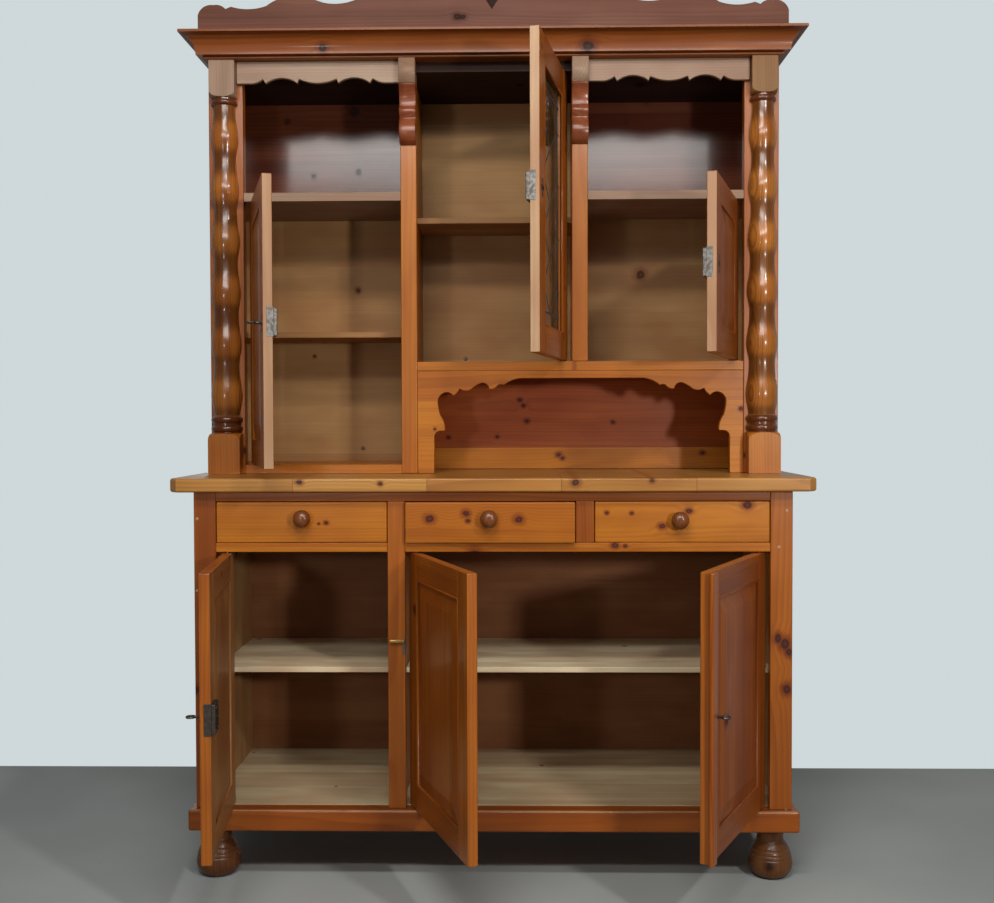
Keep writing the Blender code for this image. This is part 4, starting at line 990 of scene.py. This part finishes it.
def build_drawers():
    """Fronts with eased edges, trays of plain boards and turned knobs."""
    for side in ("left", "middle", "right"):
        body = f"drawer_{side}"
        low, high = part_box(body)
        front, rear = low.y + DRAWER_FRONT_T, high.y
        material = clear("front", "x", marks=marks_on(body, (low + high) / 2))
        face = slab(f"{body}_front", low, (high.x, front, high.z), material, body, edge=0.003)
        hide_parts(body)
        x0, x1, top = low.x + TRAY_GAP, high.x - TRAY_GAP, high.z - TRAY_DROP
        in0, in1, bottom = x0 + TRAY_T, x1 - TRAY_T, low.z + BOTTOM_UP
        boards = {
            "side_a": ("y", (x0, front, low.z), (in0, rear, top)),
            "side_b": ("y", (in1, front, low.z), (x1, rear, top)),
            "back": ("x", (in0, rear - TRAY_T, low.z), (in1, rear, top)),
            "bottom": ("x", (in0, front, bottom), (in1, rear - TRAY_T, bottom + BOTTOM_T)),
        }
        for name, (grain, start, end) in boards.items():
            slab(f"{body}_{name}", start, end, wood("inside", grain, plank=0.09), body, slot="raw_pine")
        build_knob(f"knob_{side}", body, low.y)


def build_knob(node, body, front):
    low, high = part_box(node)
    radius, length = (high.x - low.x) / 2, front - low.y
    neck, foot = radius * 0.55, radius * 0.72
    profile = [(0, length)] + arc((0, length), (radius * 0.72, length * 0.89), (radius, length * 0.62), 16)
    profile += arc(profile[-1], (radius * 0.90, length * 0.46), (neck, length * 0.33), 10)
    profile += [(neck, length * 0.24), (foot, length * 0.17), (foot, 0.0), (0, 0)]
    centre = (low + high) / 2
    knob = turned(f"{node}_turned", profile, clear("knob", "y"), body,
                  (centre.x, front, centre.z), (math.pi / 2, 0, 0))
    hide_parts(node)


def column_profile(height, blank):
    """Radius and height from the top block down; the square faces come from the blank."""
    root = math.sqrt(2)
    top, base, block = BLANK_TOP / 2, blank / 2, height - BLOCK_TOP_H
    shoulder, rise = top * (root - 1), base * (root - 1)
    profile = [(0, height), (blank, height), (blank, block + shoulder), (top * root, block + shoulder)]
    profile += arc(profile[-1], (top * 1.28, block + shoulder * 0.42), (top * 0.94, block), 8)
    ring = block - 0.004
    profile += [(top * 0.90, block - 0.001), (top * 0.90, ring)]
    profile += arc(profile[-1], (HEAD_RING_R, ring - HEAD_RING_H / 2), (top * 0.90, ring - HEAD_RING_H), 8)
    shaft_top, shaft_low = ring - HEAD_RING_H - 0.001, BLOCK_LOW_H + 2 * RING_H + 0.006
    steps = BOBBINS * BOBBIN_POINTS
    for i in range(steps + 1):
        share = i / steps
        full = SHAFT_TOP_R + (SHAFT_LOW_R - SHAFT_TOP_R) * share
        waist = (1 + math.cos(math.tau * (i % BOBBIN_POINTS / BOBBIN_POINTS) ** BOBBIN_LEAN)) / 2
        profile.append((full - BOBBIN_WAIST * waist, shaft_top + (shaft_low - shaft_top) * share))
    for upper in (BLOCK_LOW_H + 2 * RING_H + 0.003, BLOCK_LOW_H + RING_H):
        low, wide = upper - RING_H + 0.003, SHAFT_LOW_R
        profile.append((wide - RING_OUT, upper))
        profile += arc(profile[-1], (wide, (upper + low) / 2), (wide - RING_OUT, low), 10)
    profile.append((base * 0.94, BLOCK_LOW_H))
    corner = (base * root, BLOCK_LOW_H - rise)
    profile += arc(profile[-1], (base * 1.28, BLOCK_LOW_H - rise * 0.42), corner, 8)
    return profile + [(blank, BLOCK_LOW_H - rise), (blank, 0), (0, 0)]


def blank_profile(height, blank):
    """Half diagonals of the square blank: narrow at both blocks, and clear of the shaft between."""
    root, past = math.sqrt(2), 0.01
    top, base = BLANK_TOP / 2 * root, blank / 2 * root
    upper, lower = height - BLOCK_TOP_H - 0.002, BLOCK_LOW_H + 0.0015
    profile = [(0, height + past), (top, height + past), (top, upper), (blank, upper)]
    return profile + [(blank, lower), (base, lower), (base, -past), (0, -past)]


def cut(made, cutter, operation):
    """Shapes one mesh by another, which is then thrown away."""
    shape = made.modifiers.new("cut", "BOOLEAN")
    shape.operation = operation
    shape.object = cutter
    shape.solver = "EXACT"
    graph = bpy.context.evaluated_depsgraph_get()
    made.data = bpy.data.meshes.new_from_object(made.evaluated_get(graph))
    made.modifiers.clear()
    bpy.data.objects.remove(cutter)


def square_ends(column, height, finish):
    """The top block takes a pale colour that paints its sheen, darker on the right column than on the left;
    the low block takes the front's colour and the rings a darker one.
    """
    for skin in (finish, "front", "ring"):
        column.data.materials.append(clear(skin, "z"))
    shaft_low = BLOCK_LOW_H + 2 * RING_H + RING_OUT
    shaft_top = height - BLOCK_TOP_H - HEAD_RING_H - RING_OUT
    for face in column.data.polygons:
        z = face.center.z
        if z > height - BLOCK_TOP_H:
            face.material_index = 1
        elif z < BLOCK_LOW_H:
            face.material_index = 2
        elif not shaft_low < z < shaft_top:
            face.material_index = 3


def build_columns():
    """Half columns, turned, squared at both ends and split along the post."""
    for side in ("left", "right"):
        node = f"column_{side}"
        low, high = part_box(node)
        height, blank = high.z - low.z, high.x - low.x
        at = Matrix.Translation(((low.x + high.x) / 2, high.y, low.z))
        column = mesh_object(f"{node}_turned", lathe(column_profile(height, blank), ROUND_STEPS))
        column.matrix_world = at
        square = mesh_object(f"{node}_blank", lathe(blank_profile(height, blank), 4))
        square.matrix_world = at @ Matrix.Rotation(math.pi / 4, 4, "Z")
        split = mesh_object(f"{node}_split", board_mesh((4 * blank, 4 * blank, 3 * height), 0))
        split.matrix_world = at @ Matrix.Translation((0, 2 * blank, 0))
        for made in (column, square, split):
            bpy.context.scene.collection.objects.link(made)
        bpy.context.view_layer.update()
        cut(column, square, "INTERSECT")
        cut(column, split, "DIFFERENCE")
        # The shaft's waists get painted shade.
        polished = wood("dark", "z", plank=0.30, knots=0.2, rings=0.0045, shaft=height)
        link(column, polished, "cabinet", smooth=True)
        square_ends(column, height, "block" if side == "left" else "tan")
        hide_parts(node)


def build_cornice():
    """Bead, quirk, cove and fillet swept round three sides of a tray."""
    low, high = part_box("cornice")
    height, reach = high.z - low.z, CORNICE_OUT
    foot, rise = reach - COVE_OUT, height - FILLET_H - BEAD_H
    bead = reach - BEAD_OUT
    edge = bead + BEAD_ROUND
    profile = [(edge, 0)] + arc((edge, 0), (bead, BEAD_H / 2), (edge, BEAD_H - 0.0005), 8)
    profile += [(foot + 0.001, BEAD_H)]
    for i in range(COVE_STEPS + 1):
        turn = math.pi / 2 * (1 - i / COVE_STEPS)
        profile.append((foot * math.sin(turn), BEAD_H + rise - rise * (1 - math.cos(turn))))
    profile += [(0, height - 0.001), (0.001, height)]
    bm = bmesh.new()
    rows = []
    for inset, z in profile:
        x0, x1, y0 = low.x + inset, high.x - inset, low.y + inset
        corners = ((x0, high.y), (x0, y0), (x1, y0), (x1, high.y))
        rows.append([bm.verts.new((x, y, low.z + z)) for x, y in corners])
    for below, above in zip(rows, rows[1:]):
        for i in range(3):
            bm.faces.new((below[i], below[i + 1], above[i + 1], above[i]))
    bm.faces.new(rows[0])
    bm.faces.new(rows[-1])
    bm.faces.new([row[0] for row in rows] + [row[3] for row in reversed(rows)])
    bmesh.ops.recalc_face_normals(bm, faces=bm.faces)
    made = mesh_object("cornice_moulded", bm)
    well_low = Vector((low.x + CORNICE_RIM, low.y + CORNICE_RIM, high.z - CORNICE_WELL))
    well_high = Vector((high.x - CORNICE_RIM, high.y - CORNICE_BACK_RIM, high.z + CORNICE_WELL))
    well = mesh_object("cornice_well", board_mesh(well_high - well_low, 0))
    well.location = (well_low + well_high) / 2
    for piece in (made, well):
        bpy.context.scene.collection.objects.link(piece)
    bpy.context.view_layer.update()
    cut(made, well, "DIFFERENCE")
    link(made, clear("cornice", "x", marks=KNOTS["cornice"]), "cabinet", smooth=True)
    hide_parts("cornice")


FACING_FRONT = Matrix.Rotation(math.pi / 2, 4, "X")
FACING_SIDE = Matrix.Rotation(math.pi / 2, 4, "Z") @ FACING_FRONT


def outline(name, points, thickness, facing, location, material, edge=0.0012):
    """A sawn board with the given outline and softened edges, centred on its thickness."""
    curve = closed_line(name, [(u, v, 0) for u, v in points], "2D")
    curve.fill_mode = "BOTH"
    curve.extrude = thickness / 2 - edge
    curve.bevel_depth = edge
    curve.bevel_resolution = 1
    curve.offset = -edge
    made = bpy.data.objects.new(name, curve)
    made.matrix_world = Matrix.Translation(location) @ facing
    return link(made, material, "cabinet")


def mirrored(half, width):
    other = [(width - u, v) for u, v in reversed(half)]
    return half + (other[1:] if math.isclose(half[-1][0], other[0][0]) else other)


def build_crest():
    """The scrolled board on the cornice, with a dark lozenge in its middle."""
    low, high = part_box("crest")
    width, half = high.x - low.x, (high.x - low.x) / 2
    line = [(0, 0)]
    line += scallops((0, 0.044), [((0.010, 0.060), (0.036, 0.067)), ((0.052, 0.066), (0.064, 0.058))])
    line += scallops((0.077, 0.063), [((0.117, 0.057), (0.158, 0.064)), ((0.215, 0.086), (0.272, 0.076))])
    line += scallops((0.290, 0.070), [((0.330, 0.068), (0.372, 0.080)), ((0.420, 0.092), (0.462, 0.086))])
    line += scallops((0.480, 0.082), [((0.545, 0.118), (half, 0.135))], 20)
    y = (low.y + high.y) / 2
    made = outline("crest_sawn", mirrored(line, width), high.y - low.y, FACING_FRONT, (low.x, y, low.z),
                   clear("dull", "x_flat", marks=marks_on("crest", low)))
    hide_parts("crest")
    reach, rise, thick = LOZENGE
    bm = bmesh.new()
    bmesh.ops.create_cone(bm, cap_ends=True, segments=4, radius1=1.0, radius2=0.55, depth=1.0)
    bmesh.ops.scale(bm, vec=(reach, rise, thick), verts=bm.verts)
    boss = mesh_object("crest_lozenge", bm)
    place = ((low.x + high.x) / 2, low.y - thick / 2, low.z + CREST_BOSS)
    boss.matrix_world = Matrix.Translation(place) @ FACING_FRONT
    link(boss, clear("ebony", "x_flat"), "cabinet")


def valance_line(width, drop):
    """Lower edge of a valance: hanging lobes at the ends and in the middle, cusped arches between."""
    lobe, arch, notch = -drop, -drop * 0.755, -drop * 0.80
    half = [(0, lobe), (width * 0.075, lobe)]
    half += arc(half[-1], (width * 0.125, lobe * 0.95), (width * 0.161, notch), 12)
    half += scallops((width * 0.179, lobe), [((width * 0.2765, arch), (width * 0.374, lobe))], 20)
    half += scallops((width * 0.385, notch), [((width * 0.4425, lobe * 0.952), (width * 0.5, lobe))], 12)
    return mirrored(half, width)


def build_valances():
    for side in ("left", "right"):
        low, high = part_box(f"valance_{side}")
        width, drop = high.x - low.x, high.z - low.z
        points = [(0, 0)] + valance_line(width, drop) + [(width, 0)]
        # The valance's pale colour paints its sheen.
        made = outline(f"valance_{side}_sawn", points, high.y - low.y, FACING_FRONT,
                       (low.x, (low.y + high.y) / 2, high.z), clear("block", "x_flat"))
        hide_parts(f"valance_{side}")


def build_corbels():
    """A block in a pale colour that paints its sheen, over a polished scroll."""
    for side in ("left", "right"):
        low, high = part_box(f"corbel_{side}")
        out, drop = high.y - low.y, high.z - low.z
        place = ((low.x + high.x) / 2, high.y, high.z)
        plain = [(0, 0), (-out, 0), (-out, -drop * 0.29), (0, -drop * 0.29)]
        made = outline(f"corbel_{side}_block", plain, high.x - low.x, FACING_SIDE, place,
                       clear("block", "x_flat"))
        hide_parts(f"corbel_{side}")
        line = [(0, -drop * 0.292), (-out * 0.92, -drop * 0.292), (-out * 0.87, -drop * 0.31)]
        line += arc(line[-1], (-out * 0.55, -drop * 0.39), (-out * 0.42, -drop * 0.555), 12)
        line += [(-out * 0.64, -drop * 0.565), (-out * 0.64, -drop * 0.645)]
        line += [(-out * 0.30, -drop * 0.67), (-out * 0.34, -drop * 0.70)]
        line += arc(line[-1], (-out * 0.76, -drop * 0.83), (0, -drop), 20)
        outline(f"corbel_{side}_scroll", line, high.x - low.x, FACING_SIDE, place,
                clear("corbel", "x_flat"))


def build_apron():
    """The board round the niche, sawn in scallops from both legs to the middle."""
    low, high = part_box("niche_apron")
    width, height = high.x - low.x, high.z - low.z
    line = [(0, 0)] + scallops((0, 0.0852), [((0.005, 0.0957), (0.0117, 0.099))], 8)
    line += scallops((0.025, 0.0995), [
        ((0.0228, 0.1185), (0.0142, 0.1354)),
        ((0.0098, 0.1535), (0.0084, 0.1658)),
        ((0.0138, 0.1815), (0.029, 0.1894)),
        ((0.0385, 0.187), (0.0451, 0.1812)),
        ((0.0532, 0.1877), (0.060, 0.1978)),
        ((0.0749, 0.1929), (0.0866, 0.1964)),
        ((0.0985, 0.2052), (0.1116, 0.2111)),
        ((0.1222, 0.2082), (0.1291, 0.1961)),
        ((0.1401, 0.1978), (0.1485, 0.2045)),
        ((0.155, 0.2069), (0.1618, 0.2045)),
        ((0.180, 0.2162), (0.2001, 0.2218)),
    ], 8)
    opening = width - APRON_LEG - APRON_LEG_RIGHT
    points = [(APRON_LEG + u, v) for u, v in mirrored(line, opening)]
    points += [(width, 0), (width, height), (0, height), (0, 0)]
    made = outline("niche_apron_sawn", points, high.y - low.y, FACING_FRONT,
                   (low.x, (low.y + high.y) / 2, low.z), wood("front", "x_flat", plank=0.30))
    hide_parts("niche_apron")


def dress_keys():
    for side in ("lower_left", "lower_right", "upper_left"):
        key = NODES[f"key_{side}"]
        key.data.materials.clear()
        key.data.materials.append(iron())


def build_stage():
    """A pale floor that ends behind the cabinet, as a floor does at a wall."""
    depth, width = 5.0, 9.0
    far = CAD_BOX[1].y + FLOOR_BEHIND
    bm = bmesh.new()
    bmesh.ops.create_grid(bm, x_segments=1, y_segments=1, size=0.5)
    bmesh.ops.scale(bm, vec=(width, depth, 1), verts=bm.verts)
    floor = mesh_object("floor", bm)
    bpy.context.scene.collection.objects.link(floor)
    floor.location = (0, far - depth / 2, -0.0005)
    g = Graph("floor_grey")
    tone = g.fade(g.noise(g.add("TexCoord").outputs["Object"], 2.0)[0], 0.3, 0.7)
    colour = g.mix(tone, srgb(182, 187, 185), srgb(192, 197, 195))
    floor.data.materials.append(g.finish(Base_Color=colour, Roughness=0.80, Specular_IOR_Level=0.15))


def build_world():
    """A dim room with a paler wall in reflections, and a bright background for the camera alone."""
    world = bpy.data.worlds.new("studio")
    bpy.context.scene.world = world
    world.use_nodes = True
    g = Nodes(world.node_tree)
    rays = g.add("LightPath").outputs
    way = g.add("SeparateXYZ", {0: g.add("TexCoord").outputs["Generated"]}).outputs["Y"]

    def rising(run, last):
        inputs = {"Value": way, "From Min": run[0], "From Max": run[1], "To Min": ROOM_FRONT, "To Max": last}
        return g.add("MapRange", inputs).outputs[0]

    def seen_by(rays_of_one_kind, level, otherwise):
        inputs = {"Factor": rays_of_one_kind, "A": otherwise, "B": level}
        return g.add("Mix", inputs).outputs["Result"]

    shiny = g.math("MAXIMUM", rays["Is Glossy Ray"], rays["Is Transmission Ray"])
    strength = seen_by(shiny, rising(WALL_RUN, BACKGROUND / 2), rising(ROOM_RUN, ROOM_BEHIND))
    strength = seen_by(rays["Is Camera Ray"], BACKGROUND, strength)
    back = g.tree.nodes["Background"]
    g.put(back.inputs["Strength"], strength)
    g.put(back.inputs["Color"], srgb(226, 236, 238))


def build_light():
    """Lamps on both sides, overhead and behind, and a bright strip that only shines."""
    front = Vector((0, FRONT_Y, 0))
    target = front + Vector(LAMPS_AIM)
    lamps = {}
    for name, (place, size, power) in LAMPS.items():
        lamps[name] = lamp(name, front + Vector(place), target, size, power)
    for name in ("wide", "fill"):
        lamps[name].visible_glossy = False
    lamps["window"].visible_diffuse = False
    spare_floor(*(lamps[name] for name in ("low", "left", "fill", "rear")))


def spare_floor(*lamps):
    """The low lamps leave the floor alone, so that it stays dark under the cabinet."""
    kept_out = bpy.data.collections.new("floor_kept_out")
    kept_out.objects.link(bpy.data.objects["floor"])
    kept_out.collection_objects[0].light_linking.link_state = "EXCLUDE"
    for made in lamps:
        made.light_linking.receiver_collection = kept_out


def lamp(name, place, target, size, power):
    light = bpy.data.lights.new(name, "AREA")
    light.shape = "RECTANGLE"
    light.size, light.size_y = size
    light.energy = power
    light.color = LAMP_COLOUR
    made = bpy.data.objects.new(name, light)
    bpy.context.scene.collection.objects.link(made)
    made.location = place
    made.rotation_euler = (target - place).to_track_quat("-Z", "Y").to_euler()
    return made


def build_camera():
    """The photograph's viewpoint, turned by yaw, then pitch, then roll."""
    data = bpy.data.cameras.new("camera")
    camera = bpy.data.objects.new("camera", data)
    bpy.context.scene.collection.objects.link(camera)
    data.sensor_fit = "HORIZONTAL"
    data.sensor_width = 36.0
    data.lens = FOCAL_PX / PHOTO_W * data.sensor_width
    level = Vector((math.cos(CAMERA_YAW), -math.sin(CAMERA_YAW), 0))
    flat = Vector((math.sin(CAMERA_YAW), math.cos(CAMERA_YAW), 0))
    ahead = flat * math.cos(CAMERA_PITCH) - Vector((0, 0, math.sin(CAMERA_PITCH)))
    up = level.cross(ahead)
    right = level * math.cos(CAMERA_ROLL) + up * math.sin(CAMERA_ROLL)
    upward = up * math.cos(CAMERA_ROLL) - level * math.sin(CAMERA_ROLL)
    turn = Matrix((right, upward, -ahead)).transposed().to_4x4()
    camera.matrix_world = Matrix.Translation(CAMERA_AT + Vector((0, FRONT_Y, 0))) @ turn
    bpy.context.scene.camera = camera


bpy.context.scene.view_settings.view_transform = "Standard"
build_camera()
build_stage()
build_world()
build_light()
dress_boards()
dress_shaped_boards()
line_cupboards()
build_feet()
build_drawers()
build_columns()
build_cornice()
build_crest()
build_valances()
build_corbels()
build_apron()
build_doors()
build_fittings()
leaded_door()
dress_keys()
